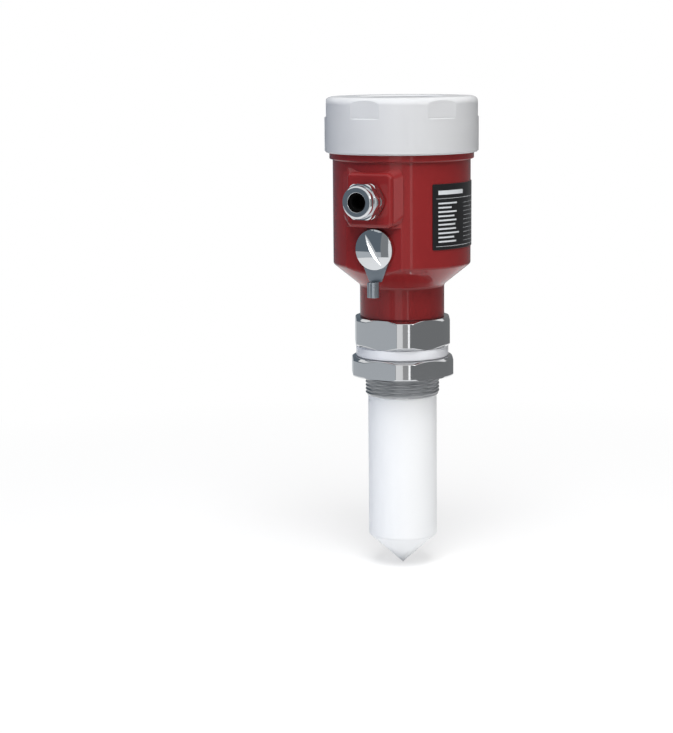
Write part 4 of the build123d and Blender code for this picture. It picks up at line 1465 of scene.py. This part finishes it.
@dataclass
class Lid:
    """White screwed lid with finger flats round its top edge."""

    radius: float = 49.0
    bore: float = 43.3
    bottom: float = 143.1
    top: float = 178.2
    base_chamfer: float = 1.0
    edge: float = 4.5
    notches: int = 6
    notch_half_angle: float = 12.0
    notch_turn: float = -2.0
    notch_bottom: float = 165.4
    opening: float = 27.5
    opening_chamfer: float = 0.8
    pocket: float = 33.2
    pocket_top: float = 174.7
    collar_bottom: float = 165.1
    arc_steps: int = 12
    edge_strip: float = 0.4

    @property
    def pitch(self) -> float:
        """Angle from one notch to the next, in degrees."""
        return FULL_TURN / self.notches

    def reach(self, angle: float) -> float:
        """Distance from the axis to the side above the notches' floor.

        Args:
            angle: Angle in degrees.

        Returns:
            The distance.
        """
        off = folded(angle + 90 - self.notch_turn, self.pitch)
        flat = self.radius * cos(radians(self.notch_half_angle))
        return min(self.radius, flat / cos(radians(off)))

    def column(self, angle: float) -> list[Point]:
        """Outline at an angle.

        Args:
            angle: Angle in degrees.

        Returns:
            Radius and height of each point, closed.
        """
        reach = self.reach(angle)
        middle = (self.radius - self.edge, self.top - self.edge)
        start = degrees(acos(min(1.0, (reach - middle[0]) / self.edge)))
        arc = arc_points(self.edge, start, 90, self.arc_steps + 1, middle)
        corners = [
            (self.bore, self.bottom, 0.4),
            (self.radius - self.base_chamfer, self.bottom, 0.3),
            (self.radius, self.bottom + self.base_chamfer, 0.4),
            (self.radius, self.notch_bottom, 0.3),
            (reach, self.notch_bottom, 0.3),
            *((r, z, 0) for r, z in arc),
            (self.opening + self.opening_chamfer, self.top, 0.25),
            (self.opening, self.top - self.opening_chamfer, 0.25),
            (self.opening, self.pocket_top, 0),
            (self.pocket, self.pocket_top, 0),
            (self.pocket, self.collar_bottom, 0),
            (self.bore, self.collar_bottom, 0),
        ]
        return rounded_path(corners, steps=12)

    def build(self) -> None:
        """Builds the lid."""
        offs = flat_angles(self.notch_half_angle, self.edge_strip, self.pitch)
        angles = sorted(
            (off + n * self.pitch - 90 + self.notch_turn) % FULL_TURN
            for n in range(self.notches)
            for off in offs
        )
        mesh = columns_mesh(self.column, angles)
        piece("lid_cast", mesh, Palette.white, "lid", ["lid"], crease=9.0)


@dataclass
class Window:
    """Glass and its retaining ring in the lid."""

    radius: float = 32.9
    bottom: float = 168.9
    top: float = 173.9
    edge: float = 0.4
    ring_inner: float = 30.05
    ring_outer: float = 33.15
    ring_bottom: float = 165.4

    def build(self) -> None:
        """Turns the glass and the retaining ring."""
        glass = ring_mesh((0, self.radius), (self.bottom, self.top), (0, self.edge), segments=192)
        piece("window_pane", glass, Palette.glass, "window", ["window_glass"])
        ring = turned_mesh([
            (self.ring_inner, self.ring_bottom, 0.3),
            (self.ring_outer, self.ring_bottom, 0.3),
            (self.ring_outer, self.bottom, 0),
            (self.ring_inner, self.bottom, 0.2),
        ])
        piece("retaining_ring", ring, Palette.aluminium, "lid", ["window_retainer"])


@dataclass
class EntryFitting:
    """What the fittings of both cable entries share: their place, hexagon and gasket.

    Levels count from the sensor's axis, outwards.
    """

    side: ClassVar[Side] = Side.FRONT
    height: float = 115.1
    hexagon: Hexagon = Hexagon(22.0, 12.1, (0.7, 0.7), (0.7, 0.7), 0.18, 0.8)
    boss_face: float = 46.0
    base: float = 47.2
    gasket: float = 10.8
    gasket_gap: float = 0.05
    inner_end: float = 38.5
    entry_radius: float = 10.0

    def add(
        self,
        name: str,
        mesh: bpy.types.Mesh,
        finish: Finish = Palette.nickel,
        body: str = "housing",
        replaced: Iterable[str] = (),
        slot: Finish | None = None,
    ) -> None:
        """Adds a piece on the entry's axis.

        Args:
            name: The piece's name.
            mesh: Its mesh, in millimetres.
            finish: Its finish.
            body: CAD body that it rides on.
            replaced: CAD nodes that it stands for.
            slot: Not used.
        """
        place = self.side.place(self.height)
        piece(name, mesh, finish, body, replaced, place)

    def add_gasket(self, node: str) -> None:
        """Adds the gasket.

        Args:
            node: CAD node that it stands for.
        """
        radii = (self.entry_radius + self.gasket_gap, self.gasket)
        mesh = ring_mesh(radii, (self.boss_face, self.base), (0, 0.2))
        self.add(f"{node}_ring", mesh, Palette.rubber, replaced=[node])

    def milled(self, column: Callable[[float], list[Point]]) -> bpy.types.Mesh:
        """The mesh of a piece with the fitting's hexagon, from its outline at each angle."""
        return columns_mesh(column, self.hexagon.angles(step=3.0))


@dataclass
class CableGland(EntryFitting):
    """Nickel-plated gland: gasket, body with its thread, rubber sleeve and domed nut."""

    hex_end: float = 52.4
    mouth: float = 59.0
    mouth_gap: float = 0.1
    bore: float = 6.3
    thread_radius: float = 8.6
    thread_depth: float = 0.6
    thread_pitch: float = 1.5
    nut_start: float = 52.8
    nut_hex_end: float = 57.4
    nut_front: float = 62.4
    nut_gap: float = 0.06
    dome: float = 10.3
    dome_edge: float = 1.6
    nut_mouth: float = 6.1
    sleeve_front: float = 60.3
    sleeve_radius: float = 6.0
    sleeve_bore: float = 4.5
    sleeve_back: float = 50.5
    sleeve_flange: float = 7.8
    # A near-black disc in the bore that paints the bore's shade.
    shade_disc_back: float = 50.0
    shade_disc_front: float = 50.4

    @property
    def thread(self) -> Thread:
        """Thread that the nut turns on."""
        return Thread(
            radius=self.thread_radius,
            depth=self.thread_depth,
            pitch=self.thread_pitch,
            start=self.hex_end,
            length=self.mouth - self.hex_end,
            inner=self.bore,
            lead=self.thread_depth,
            columns=97,
            rows_per_pitch=10,
        )

    def body_column(self, angle: float) -> list[Point]:
        """Outline of the body at an angle.

        Args:
            angle: Angle in degrees.

        Returns:
            Radius and height of each point, closed.
        """
        core, end = self.thread.core, self.mouth - self.mouth_gap
        return rounded_path([
            (self.bore, self.inner_end, 0),
            (self.entry_radius, self.inner_end, 0),
            (self.entry_radius, self.base, 0),
            *self.hexagon.side(angle, self.base, self.hex_end),
            (core, self.hex_end, 0),
            (core, end, 0),
            (self.bore, end, 0),
        ])

    def nut_column(self, angle: float) -> list[Point]:
        """Outline of the nut at an angle.

        Args:
            angle: Angle in degrees.

        Returns:
            Radius and height of each point, closed.
        """
        inner = self.thread_radius + self.nut_gap
        corners = [
            (inner, self.nut_start, 0.1),
            *self.hexagon.side(angle, self.nut_start, self.nut_hex_end),
            (self.dome, self.nut_hex_end, 0.15),
            (self.dome, self.nut_front, self.dome_edge),
            (self.nut_mouth, self.nut_front, 0.3),
            (self.nut_mouth, self.sleeve_front, 0),
            (inner, self.sleeve_front, 0),
        ]
        return rounded_path(corners, steps=4)

    def build(self) -> None:
        """Builds the gland's pieces, with a near-black disc of painted shade where its bore would
        show its depth.
        """
        self.add_gasket("gland_gasket")
        self.add("gland_hexagon", self.milled(self.body_column), replaced=["gland_body"])
        self.add("gland_thread", self.thread.mesh())
        sleeve = turned_mesh([
            (self.sleeve_bore, self.sleeve_back, 0.3),
            (self.sleeve_radius, self.sleeve_back, 0.3),
            (self.sleeve_radius, self.mouth, 0),
            (self.sleeve_flange, self.mouth, 0),
            (self.sleeve_flange, self.sleeve_front, 0.2),
            (self.sleeve_bore, self.sleeve_front, 0.5),
        ], segments=96)
        # The sleeve and the bore's disc share a near-black finish that paints the deep bore's
        # shade.
        dark = Palette.sleeve_and_bore_shade
        self.add("gland_sleeve", sleeve, dark, "gland_seal", ["gland_seal"], Palette.rubber)
        disc = ring_mesh((0, self.bore), (self.shade_disc_back, self.shade_disc_front))
        self.add("gland_bore_shade_disc", disc, dark, slot=Palette.nickel)
        nut = self.milled(self.nut_column)
        self.add("gland_nut_domed", nut, body="gland_nut", replaced=["gland_nut"])


@dataclass
class BlankingPlug(EntryFitting):
    """Hexagonal plug in the second cable entry, at the back."""

    side: ClassVar[Side] = Side.BACK
    front: float = 52.7
    recess: float = 6.0
    recess_floor: float = 50.7

    def column(self, angle: float) -> list[Point]:
        """Outline at an angle.

        Args:
            angle: Angle in degrees.

        Returns:
            Radius and height of each point, closed.
        """
        return rounded_path([
            (0, self.inner_end, 0),
            (self.entry_radius, self.inner_end, 0),
            (self.entry_radius, self.base, 0),
            *self.hexagon.side(angle, self.base, self.front),
            (self.recess, self.front, 0.2),
            (self.recess, self.recess_floor, 0.2),
            (0, self.recess_floor, 0),
        ])

    def build(self) -> None:
        """Builds the plug and its gasket."""
        self.add("plug_hexagon", self.milled(self.column), replaced=["blanking_plug"])
        self.add_gasket("plug_gasket")


@dataclass
class EarthTerminal:
    """Earth terminal on the flat: cable lug, washer and a wide domed screw.

    The seam's end and gap are shares of half its angle: where the barrel's round part begins,
    and from where on its columns are even.
    """

    across: float = 1.5
    height: float = 84.3
    flat: float = 39.52
    lug_thickness: float = 1.2
    lug_radius: float = 12.0
    shoulder_angle: float = 35.0
    throat_width: float = 8.5
    throat_drop: float = 20.2
    hole: float = 3.3
    barrel: float = 3.8
    barrel_bore: float = 2.1
    barrel_length: float = 9.6
    seam_depth: float = 0.92
    seam_steps: int = 3
    seam_end: float = 1.1
    seam_gap: float = 1.2
    washer: float = 9.5
    washer_thickness: float = 0.8
    screw: float = 3.0
    screw_tip: float = 34.5
    head: float = 12.75
    head_rim: float = 1.1
    head_dome: float = 2.3
    dome_steps: int = 16
    slot_width: float = 3.4
    slot_depth: float = 1.66
    slot_lean: float = 30.0
    saw_height: float = 3.0
    edge: float = 0.12
    crease: float = 30.0
    barrel_step: float = 6.0

    def build(self) -> None:
        """Builds the terminal's three pieces."""
        place = Side.FRONT.place(self.height, self.across)
        back = self.flat + self.lug_thickness
        front = back + self.washer_thickness
        self._build_lug(place)
        washer = ring_mesh((self.hole, self.washer), (back, front), (0, self.edge), segments=120)
        node = "earth_washer"
        piece("earth_washer_ring", washer, Palette.tinned, node, [node], place)
        screw = self._screw_mesh(front)
        node = "earth_screw"
        piece("earth_screw_slotted", screw, Palette.nickel, node, [node], place)

    @property
    def half_seam(self) -> float:
        """Half the angle that the barrel's seam takes, in degrees."""
        return degrees(self.seam_depth / self.barrel)

    def barrel_column(self, angle: float) -> list[Point]:
        """Outline of the barrel at an angle, with its seam in front.

        Args:
            angle: Angle in degrees.

        Returns:
            Radius and height of each point, closed.
        """
        top = self.height - self.throat_drop
        share = max(0.0, 1 - abs(folded(angle + 90)) / self.half_seam)
        outer = self.barrel - self.seam_depth * share
        return rounded_path([
            (self.barrel_bore, top - self.barrel_length, 0.15),
            (outer, top - self.barrel_length, 0.2),
            (outer, top, 0.15),
            (self.barrel_bore, top, 0),
        ])

    def _build_lug(self, place: Matrix) -> None:
        """Builds the lug's plate and its crimp barrel.

        Args:
            place: Frame of the screw.
        """
        half, drop, start = self.throat_width / 2, self.throat_drop, -self.shoulder_angle
        outline = arc_points(self.lug_radius, start, 180 - start, count=73)
        outline += [(-half, -drop), (half, -drop)]
        hole = circle_points(self.hole, count=48)
        seat = place @ Matrix.Translation((0, 0, self.flat))
        plate = outline_mesh([outline, hole], self.lug_thickness, self.edge, seat)
        seam, steps = self.half_seam, self.seam_steps
        limit = int(FULL_TURN / 2 / self.barrel_step)
        even = {k * self.barrel_step for k in range(-limit, limit)}
        offs = {seam * k / steps for k in range(-steps, steps + 1)}
        offs |= {-seam * self.seam_end, seam * self.seam_end}
        offs |= {off for off in even if abs(off) > seam * self.seam_gap}
        barrel = columns_mesh(self.barrel_column, sorted((off - 90) % FULL_TURN for off in offs))
        barrel.transform(Matrix.Translation((self.across, -self.flat - self.barrel, 0)))
        mesh = joined_mesh([plate, barrel])
        piece("earth_lug_pressed", mesh, Palette.tinned, "earth_lug", ["earth_lug"])

    def _screw_mesh(self, base: float) -> bpy.types.Mesh:
        """Turns the screw and saws its slot.

        Args:
            base: Distance from the sensor's axis to the underside of the head.

        Returns:
            The mesh, in the screw's own frame.
        """
        ball = (self.head**2 + self.head_dome**2) / (2 * self.head_dome)
        top = base + self.head_rim + self.head_dome
        spread = atan2(self.head, ball - self.head_dome)
        turns = [spread * k / self.dome_steps for k in range(self.dome_steps, -1, -1)]
        dome = [(ball * sin(turn), top - ball * (1 - cos(turn)), 0) for turn in turns]
        blank = turned_mesh([
            (0, self.screw_tip, 0),
            (self.screw, self.screw_tip, 0.5),
            (self.screw, base, 0),
            (self.head, base, 0.2),
            (*dome[0][:2], 0.15),
            *dome[1:],
        ], segments=144)
        high = self.saw_height - self.slot_depth
        wide = self.saw_height * self.slot_width / 2 / self.slot_depth
        section = [(0, -self.slot_depth), (wide, high), (-wide, high)]
        turn = Matrix.Rotation(radians(90 + self.slot_lean), 4, "Z")
        saw = prism_mesh(section, 4 * self.head, Matrix.Translation((0, 0, top)) @ turn)
        blank, saw = linked("screw_blank", blank), linked("slot_cutter", saw)
        return cut_mesh(blank, saw, self.edge, self.crease)


@dataclass
class Nameplate:
    """Black plate bent round the drum, with plain rulings in place of any words.

    Drops count down from the plate's top, or for fields and lines from the head's rule.
    """

    inner: float = 44.025
    thickness: float = 0.5
    bottom: float = 83.8
    top: float = 124.8
    width: float = 58.4
    corner: float = 1.0
    edge: float = 0.12
    drum: float = 44.0
    margin: float = 2.2
    rule: float = 0.22
    rows: int = 10
    row_pitch: float = 2.65
    indent: float = 1.5
    head_drop: float = 9.0
    bar_drop: float = 5.3
    bar_length: float = 22.0
    bar_height: float = 2.6
    field_drop: float = 3.0
    field_length: float = 21.0
    field_height: float = 1.0
    field_spread: float = 0.5
    line_drop: float = 3.4
    line_height: float = 0.16
    line_start: float = 24.5
    field_seed: int = 5
    corner_steps: int = 8
    half_steps: int = 24

    @property
    def outer(self) -> float:
        """Radius of the plate's face."""
        return self.inner + self.thickness

    @property
    def half(self) -> float:
        """Angle from the plate's middle to its end, in degrees."""
        return degrees(self.width / 2 / self.drum)

    def column(self, angle: float) -> list[Point]:
        """Outline at an angle, drawn in at the rounded corners.

        Args:
            angle: Angle in degrees.

        Returns:
            Radius and height of each point, closed.
        """
        short = max(0.0, self.corner - radians(self.half - abs(angle)) * self.drum)
        inset = self.corner - sqrt(max(0.0, self.corner**2 - short**2))
        return rounded_path([
            (self.inner, self.bottom + inset, 0),
            (self.outer, self.bottom + inset, self.edge),
            (self.outer, self.top - inset, self.edge),
            (self.inner, self.top - inset, 0),
        ])

    def build(self) -> None:
        """Builds the plate and its print."""
        half, steps = self.half, self.half_steps
        turns = [pi / 2 * k / self.corner_steps for k in range(self.corner_steps + 1)]
        ends = {half - degrees(self.corner / self.drum) * (1 - cos(turn)) for turn in turns}
        middle = {half * k / steps for k in range(1 - steps, steps)}
        mesh = columns_mesh(self.column, sorted(ends | {-a for a in ends} | middle), False)
        piece("nameplate_bent", mesh, Palette.plate, "housing", ["nameplate"])
        mesh = joined_mesh(rulings.mesh() for rulings in self._rulings())
        piece("nameplate_print", mesh, Palette.print_pale, "housing")

    def _rulings(self) -> tuple[Rulings, ...]:
        """Lays out the print.

        Returns:
            The head's bar, the frame's two rules, blank fields and their lines.
        """
        wide = self.width - 2 * self.margin
        left, head = -wide / 2, self.top - self.head_drop
        text, line = left + self.indent, left + self.line_start
        outer, grid = self.outer, (self.rows, self.row_pitch)
        bar = (self.bar_length, self.bar_height, text)
        field = (self.field_length, self.field_height, text)
        entry = (wide - self.line_start - self.indent, self.line_height, line)
        fields = Rulings(outer, head - self.field_drop, *grid, *field)
        rule = Rulings(outer, head, 1, 1.0, wide, self.rule, left)
        return (
            Rulings(outer, self.top - self.bar_drop, 1, 1.0, *bar),
            replace(rule, height=self.bottom + self.margin),
            rule,
            replace(fields, spread=self.field_spread, seed=self.field_seed),
            Rulings(outer, head - self.line_drop, *grid, *entry),
        )


class Sign(Enum):
    """Plain signs on the four keys from left to right, each as a closed outline."""

    BACK = ((-1.5, 0), (0.1, -1.3), (0.1, -0.4), (1.5, -0.4), (1.5, 0.4), (0.1, 0.4), (0.1, 1.3))
    PLUS = (
        (-1.5, -0.32), (-0.32, -0.32), (-0.32, -1.5), (0.32, -1.5), (0.32, -0.32), (1.5, -0.32),
        (1.5, 0.32), (0.32, 0.32), (0.32, 1.5), (-0.32, 1.5), (-0.32, 0.32), (-1.5, 0.32),
    )
    NEXT = ((-0.9, -1.3), (1.4, 0), (-0.9, 1.3))
    ENTER = ((-1.5, 0.1), (-1.0, 0.6), (-0.4, -0.1), (1.1, 1.3), (1.5, 0.8), (-0.4, -1.2))


# Gap from an upright stroke of a figure to its middle, as a share of the strokes' thickness.
STROKE_GAP = 0.15


class Digit(Enum):
    """Strokes of a seven-stroke figure: top, two above, middle, two below, bottom."""

    ZERO = "1110111"
    FIVE = "1101011"
    EIGHT = "1111111"

    def outlines(self, at: Point, size: Corner) -> list[list[Point]]:
        """Bars of the figure.

        Args:
            at: Lower left corner.
            size: Width, height and thickness of a bar.

        Returns:
            One closed outline for each bar.
        """
        (x, y), (width, height, stroke) = at, size
        mid, gap, right = y + height / 2, stroke * STROKE_GAP, x + width - stroke
        tall = height / 2 - gap
        bars = (
            (x, y + height - stroke, width, stroke),
            (x, mid + gap, stroke, tall),
            (right, mid + gap, stroke, tall),
            (x, mid - stroke / 2, width, stroke),
            (x, y, stroke, tall),
            (right, y, stroke, tall),
            (x, y, width, stroke),
        )
        return [box_outline(*bar) for bar, on in zip(bars, self.value) if on == "1"]


def dress(finish: Finish, *nodes: str) -> None:
    """Gives CAD nodes a finish without touching their meshes.

    Args:
        finish: The finish.
        nodes: Names of the nodes.
    """
    for name in nodes:
        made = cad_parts[name]
        made.data.materials.clear()
        made.data.materials.append(finish.material())
        log.info("dressed %s as %s", name, finish.name)


@dataclass
class Display:
    """Display under the window: slate cover, blue screen with figures, and four keys.

    Figures, units and bars count from the screen's lower left corner. A bar is its place, width
    and height, and a rule of the cover its gap above the screen, length and thickness.
    """

    face: float = 168.3
    screen_sink: float = 0.2
    screen: Point = (40.0, 21.5)
    screen_rise: float = 0.5
    key_row: float = 18.0
    key_pitch: float = 10.0
    key_proud: float = 0.4
    key_ring: Point = (3.55, 3.85)
    ring_points: int = 60
    ink: float = 0.05
    ink_edge: float = 0.01
    figures: Point = (9.5, 8.6)
    figure: Corner = (3.1, 5.4, 0.62)
    figure_pitch: float = 4.3
    point: float = 0.7
    point_pitch: float = 1.7
    units: Point = (27.5, 16.6)
    unit: Corner = (2.0, 3.0, 0.4)
    unit_pitch: float = 3.1
    unit_count: int = 3
    bars: tuple[Box, ...] = (
        (4.0, 3.6, 15.0, 2.0), (19.0, 3.6, 15.5, 0.25), (19.0, 5.35, 15.5, 0.25)
    )
    frame_gaps: Point = (0.7, 0.45)
    rules: tuple[Corner, ...] = ((3.0, 28.0, 0.35), (5.4, 18.0, 0.35))

    def build(self) -> None:
        """Dresses the display's CAD nodes and prints its figures and signs."""
        dress(Palette.slate, "display_cover")
        dress(Palette.black, "display_base")
        dress(Palette.board, "display_board")
        dress(Palette.screen, "display_screen")
        keys = [f"key_{number}" for number in range(1, len(Sign) + 1)]
        dress(Palette.key, *keys)
        for index, (key, sign) in enumerate(zip(keys, Sign)):
            across = (index - (len(keys) - 1) / 2) * self.key_pitch
            at = (across, -self.key_row, self.face + self.key_proud)
            ring = [circle_points(radius, self.ring_points) for radius in reversed(self.key_ring)]
            marks = [ring, [sign.value]]
            self._ink(f"{key}_sign", marks, at, Palette.print_pale, key)
        self._print_screen()
        self._print_cover()

    def _print_screen(self) -> None:
        """Prints a level's figures, its units and bars on the screen."""
        left, low = -self.screen[0] / 2, -self.screen[1] / 2 + self.screen_rise
        x, y = left + self.figures[0], low + self.figures[1]
        lines: list[list[Point]] = []
        for digit in (Digit.ZERO, None, Digit.ZERO, Digit.FIVE, Digit.EIGHT):
            if digit is None:
                lines.append(box_outline(x, y, self.point, self.point))
                x += self.point_pitch
            else:
                lines += digit.outlines((x, y), self.figure)
                x += self.figure_pitch
        for k in range(self.unit_count):
            x = left + self.units[0] + self.unit_pitch * k
            lines += Digit.ZERO.outlines((x, low + self.units[1]), self.unit)
        lines += [box_outline(left + x, low + y, wide, tall) for x, y, wide, tall in self.bars]
        marks, at = [[line] for line in lines], (0, 0, self.face - self.screen_sink)
        self._ink("screen_figures", marks, at, Palette.print_dark, "display")

    def _print_cover(self) -> None:
        """Prints a thin frame round the screen and two rules above it."""
        (wide, tall), low = self.screen, -self.screen[1] / 2 + self.screen_rise
        marks = [[
            box_outline(-wide / 2 - gap, low - gap, wide + 2 * gap, tall + 2 * gap)
            for gap in self.frame_gaps
        ]]
        for gap, length, thick in self.rules:
            marks.append([box_outline(-length / 2, low + tall + gap, length, thick)])
        at = (0, 0, self.face)
        self._ink("cover_rules", marks, at, Palette.print_pale, "display")

    def _ink(
        self,
        name: str,
        marks: Sequence[Sequence[Sequence[Point]]],
        at: Corner,
        finish: Finish,
        body: str,
    ) -> None:
        """Prints marks as one piece.

        Args:
            name: The piece's name.
            marks: Closed outlines of each mark.
            at: Origin of the marks, in millimetres.
            finish: Their ink.
            body: CAD body that they ride on.
        """
        place = Matrix.Translation(at)
        meshes = [outline_mesh(mark, self.ink, self.ink_edge, place) for mark in marks]
        piece(name, joined_mesh(meshes), finish, body)


class Interior:
    """Pieces inside the sensor, which keep their CAD shapes."""

    finishes: dict[Finish, tuple[str, ...]] = {
        Palette.rubber: ("spigot_o_rings", "antenna_o_ring", "lid_o_ring", "window_gasket"),
        Palette.spring: ("spigot_clip", "neck_set_screw"),
        Palette.aluminium: ("horn_antenna", "wave_guide", "microwave_module"),
        Palette.black: ("coax_cable", "electronics_cup", "terminal_plate", "display_carrier",
                        "carrier_foot", "carrier_legs"),
        Palette.board: ("main_board",),
        Palette.nickel: ("board_pillars", "terminal_screws", "carrier_screws"),
        Palette.green: ("terminal_block",),
    }

    def build(self) -> None:
        """Dresses the inner pieces."""
        for finish, nodes in self.finishes.items():
            dress(finish, *nodes)


# Studio

CAMERA_AZIMUTH = 26.5


def direction(azimuth: float, elevation: float = 0.0) -> Vector:
    """Direction from the sensor, from an azimuth that counts from the camera, in degrees."""
    a, e = radians(CAMERA_AZIMUTH + azimuth), radians(elevation)
    return Vector((sin(a) * cos(e), -cos(a) * cos(e), sin(e)))


def add_panel(
    name: str, corners: list[Corner], faces: list[tuple[int, ...]], finish: Finish
) -> bpy.types.Object:
    """Adds a panel of the studio.

    Args:
        name: The panel's name.
        corners: Its corners, in metres.
        faces: Numbers of the corners of each face.
        finish: Its finish.

    Returns:
        The panel.
    """
    mesh = bpy.data.meshes.new(name)
    mesh.from_pydata(corners, [], faces)
    mesh.materials.append(finish.material())
    made = linked(name, mesh)
    return made


@dataclass(frozen=True)
class Lamp:
    """Soft square lamp, aimed at the sensor, that doesn't show in its gloss."""

    name: str
    azimuth: float
    elevation: float
    power: float
    colour: Colour = (1.0, 1.0, 1.0)
    size: float = 900.0
    distance: float = 1500.0
    aim: float = 40.0

    def add(self) -> None:
        """Hangs the lamp."""
        away = direction(self.azimuth, self.elevation)
        light = bpy.data.lights.new(self.name, "AREA")
        light.shape, light.size = "SQUARE", self.size * MM
        light.energy, light.color = self.power, self.colour
        made = linked(self.name, light)
        made.location = (UP * self.aim + away * self.distance) * MM
        made.rotation_mode = "QUATERNION"
        made.rotation_quaternion = (-away).to_track_quat("-Z", "Y")
        made.visible_glossy = made.visible_transmission = False


@dataclass(frozen=True)
class Glow(Finish):
    """Even glow of a card."""

    def surface(self, graph: Graph) -> bpy.types.Node:
        """Builds the glow."""
        return graph.node("ShaderNodeEmission", {"Color": (*self.colour, 1)})


@dataclass(frozen=True)
class Card:
    """Upright curved panel that only shows as a shade in the sensor's gloss."""

    name: str
    start: float
    end: float
    shade: Colour
    bottom: float = -125.9
    top: float = 430.0
    distance: float = 640.0
    strip: float = 6.0

    def add(self) -> None:
        """Stands the card up, hidden from all rays but those of reflections."""
        steps = max(2, int((self.end - self.start) / self.strip))
        corners: list[Corner] = []
        for k in range(steps + 1):
            away = direction(self.start + (self.end - self.start) * k / steps) * self.distance
            corners += [tuple((away + UP * z) * MM) for z in (self.bottom, self.top)]
        faces = [(2 * k, 2 * k + 2, 2 * k + 3, 2 * k + 1) for k in range(steps)]
        made = add_panel(self.name, corners, faces, Glow(f"{self.name}_glow", self.shade))
        made.visible_camera = made.visible_shadow = False
        made.visible_diffuse = made.visible_transmission = False


@dataclass(frozen=True)
class WhiteFloor(Finish):
    """White floor that keeps the sensor's shadow and fades into the white distance."""

    near_share: float = 0.6
    fade_start: float = 120.0
    fade_length: float = 500.0

    def surface(self, graph: Graph) -> bpy.types.Node:
        """Builds the floor's surface.

        Args:
            graph: The material's tree.

        Returns:
            The shader.
        """
        spot = graph.node("ShaderNodeVectorMath", {0: graph.place()}, operation="LENGTH")
        away = graph.value(spot, "Value") - self.fade_start * MM
        far = (away / (self.fade_length * MM)).clamped()
        share = graph.seen() * (self.near_share + far * (1.0 - self.near_share))
        matt = graph.node("ShaderNodeBsdfDiffuse", {"Color": (*self.colour, 1)})
        white = graph.node("ShaderNodeEmission", {"Color": (1, 1, 1, 1)})
        return graph.node("ShaderNodeMixShader", {0: share, 1: matt, 2: white})


@dataclass
class Studio:
    """Floor, world, lamps and cards. Azimuths count from the camera, right is plus."""

    floor_level: float = -126.1
    floor_size: float = 16000.0
    ambient: float = 0.13
    lamps: tuple[Lamp, ...] = (
        Lamp("front_lamp", 2.0, 58.0, 27.3),
        Lamp("left_lamp", -75.0, 15.0, 1.7, (0.03, 0.34, 1.0)),
        Lamp("right_lamp", 95.0, 25.0, 0.8),
        Lamp("back_lamp", 180.0, 30.0, 3.0),
        Lamp("top_lamp", 0.0, 84.0, 4.0),
    )
    cards: tuple[Card, ...] = (
        Card("left_low_card", -180.0, -34.0, (0.53, 0.56, 0.59), top=-12.0),
        Card("left_card", -180.0, -34.0, (0.14, 0.17, 0.20), bottom=-12.0),
        Card("near_left_card", -34.0, -19.0, (0.26, 0.27, 0.28)),
        Card("soft_band", -19.0, 1.0, (0.95, 0.95, 0.95)),
        Card("near_card", 1.0, 13.0, (0.4, 0.4, 0.4)),
        Card("thin_strip", 13.0, 17.0, (1.5, 1.5, 1.5)),
        Card("right_card", 17.0, 180.0, (0.22, 0.225, 0.23)),
        Card("high_patch", 24.0, 40.0, (6.0, 6.0, 6.0), 290.0, 470.0, 600.0),
    )

    def build(self) -> None:
        """Sets the studio up."""
        half, level = self.floor_size * MM / 2, self.floor_level * MM
        sides = ((-half, -half), (half, -half), (half, half), (-half, half))
        floor = WhiteFloor("white_floor", (0.95, 0.95, 0.95))
        add_panel("floor", [(x, y, level) for x, y in sides], [(0, 1, 2, 3)], floor)
        self._light_world()
        for item in (*self.lamps, *self.cards):
            item.add()
        bpy.context.scene.view_settings.view_transform = "Standard"

    def _light_world(self) -> None:
        """Makes the world white to the eye and a plain soft light to matt surfaces."""
        world = bpy.data.worlds.new("studio")
        world.use_nodes = True
        bpy.context.scene.world = world
        graph = Graph(world.node_tree)
        seen = graph.seen()
        strength = seen + (1.0 - seen) * self.ambient
        sockets = {"Color": (1, 1, 1, 1), "Strength": strength}
        sky = graph.node("ShaderNodeBackground", sockets)
        graph.node("ShaderNodeOutputWorld", {"Surface": sky})


@dataclass(frozen=True)
class PhotoCamera:
    """Camera where the photograph was taken from."""

    distance: float = 1262.0
    height: float = 212.7
    pitch: float = 9.37
    yaw: float = 1.94
    roll: float = -0.51
    focal_pixels: float = 1970.0
    picture_height: float = 733.0
    sensor: float = 36.0
    nearest: float = 0.05
    farthest: float = 50.0

    def add(self) -> None:
        """Sets the camera up."""
        data = bpy.data.cameras.new("photo_camera")
        data.sensor_width = self.sensor
        data.lens = self.focal_pixels / self.picture_height * self.sensor
        data.clip_start, data.clip_end = self.nearest, self.farthest
        made = linked("photo_camera", data)
        made.rotation_mode = "QUATERNION"
        heading = Matrix.Rotation(radians(CAMERA_AZIMUTH + self.yaw), 4, "Z")
        tilt = Matrix.Rotation(radians(90 - self.pitch), 4, "X")
        roll = Matrix.Rotation(radians(self.roll), 4, "Z")
        made.rotation_quaternion = (heading @ tilt @ roll).to_quaternion()
        made.location = (direction(0.0) * self.distance + UP * self.height) * MM
        bpy.context.scene.camera = made


def main() -> None:
    """Builds the sensor and its studio."""
    logging.basicConfig(level=logging.INFO, format="%(name)s: %(message)s")
    for assembly in (
        AntennaTube(),
        ProcessFitting(),
        SealRing(),
        LockNut(),
        Housing(),
        Lid(),
        Window(),
        CableGland(),
        BlankingPlug(),
        EarthTerminal(),
        Nameplate(),
        Display(),
        Interior(),
        Studio(),
    ):
        log.info("building %s", type(assembly).__name__)
        assembly.build()
    PhotoCamera().add()


if __name__ == "__main__":
    main()
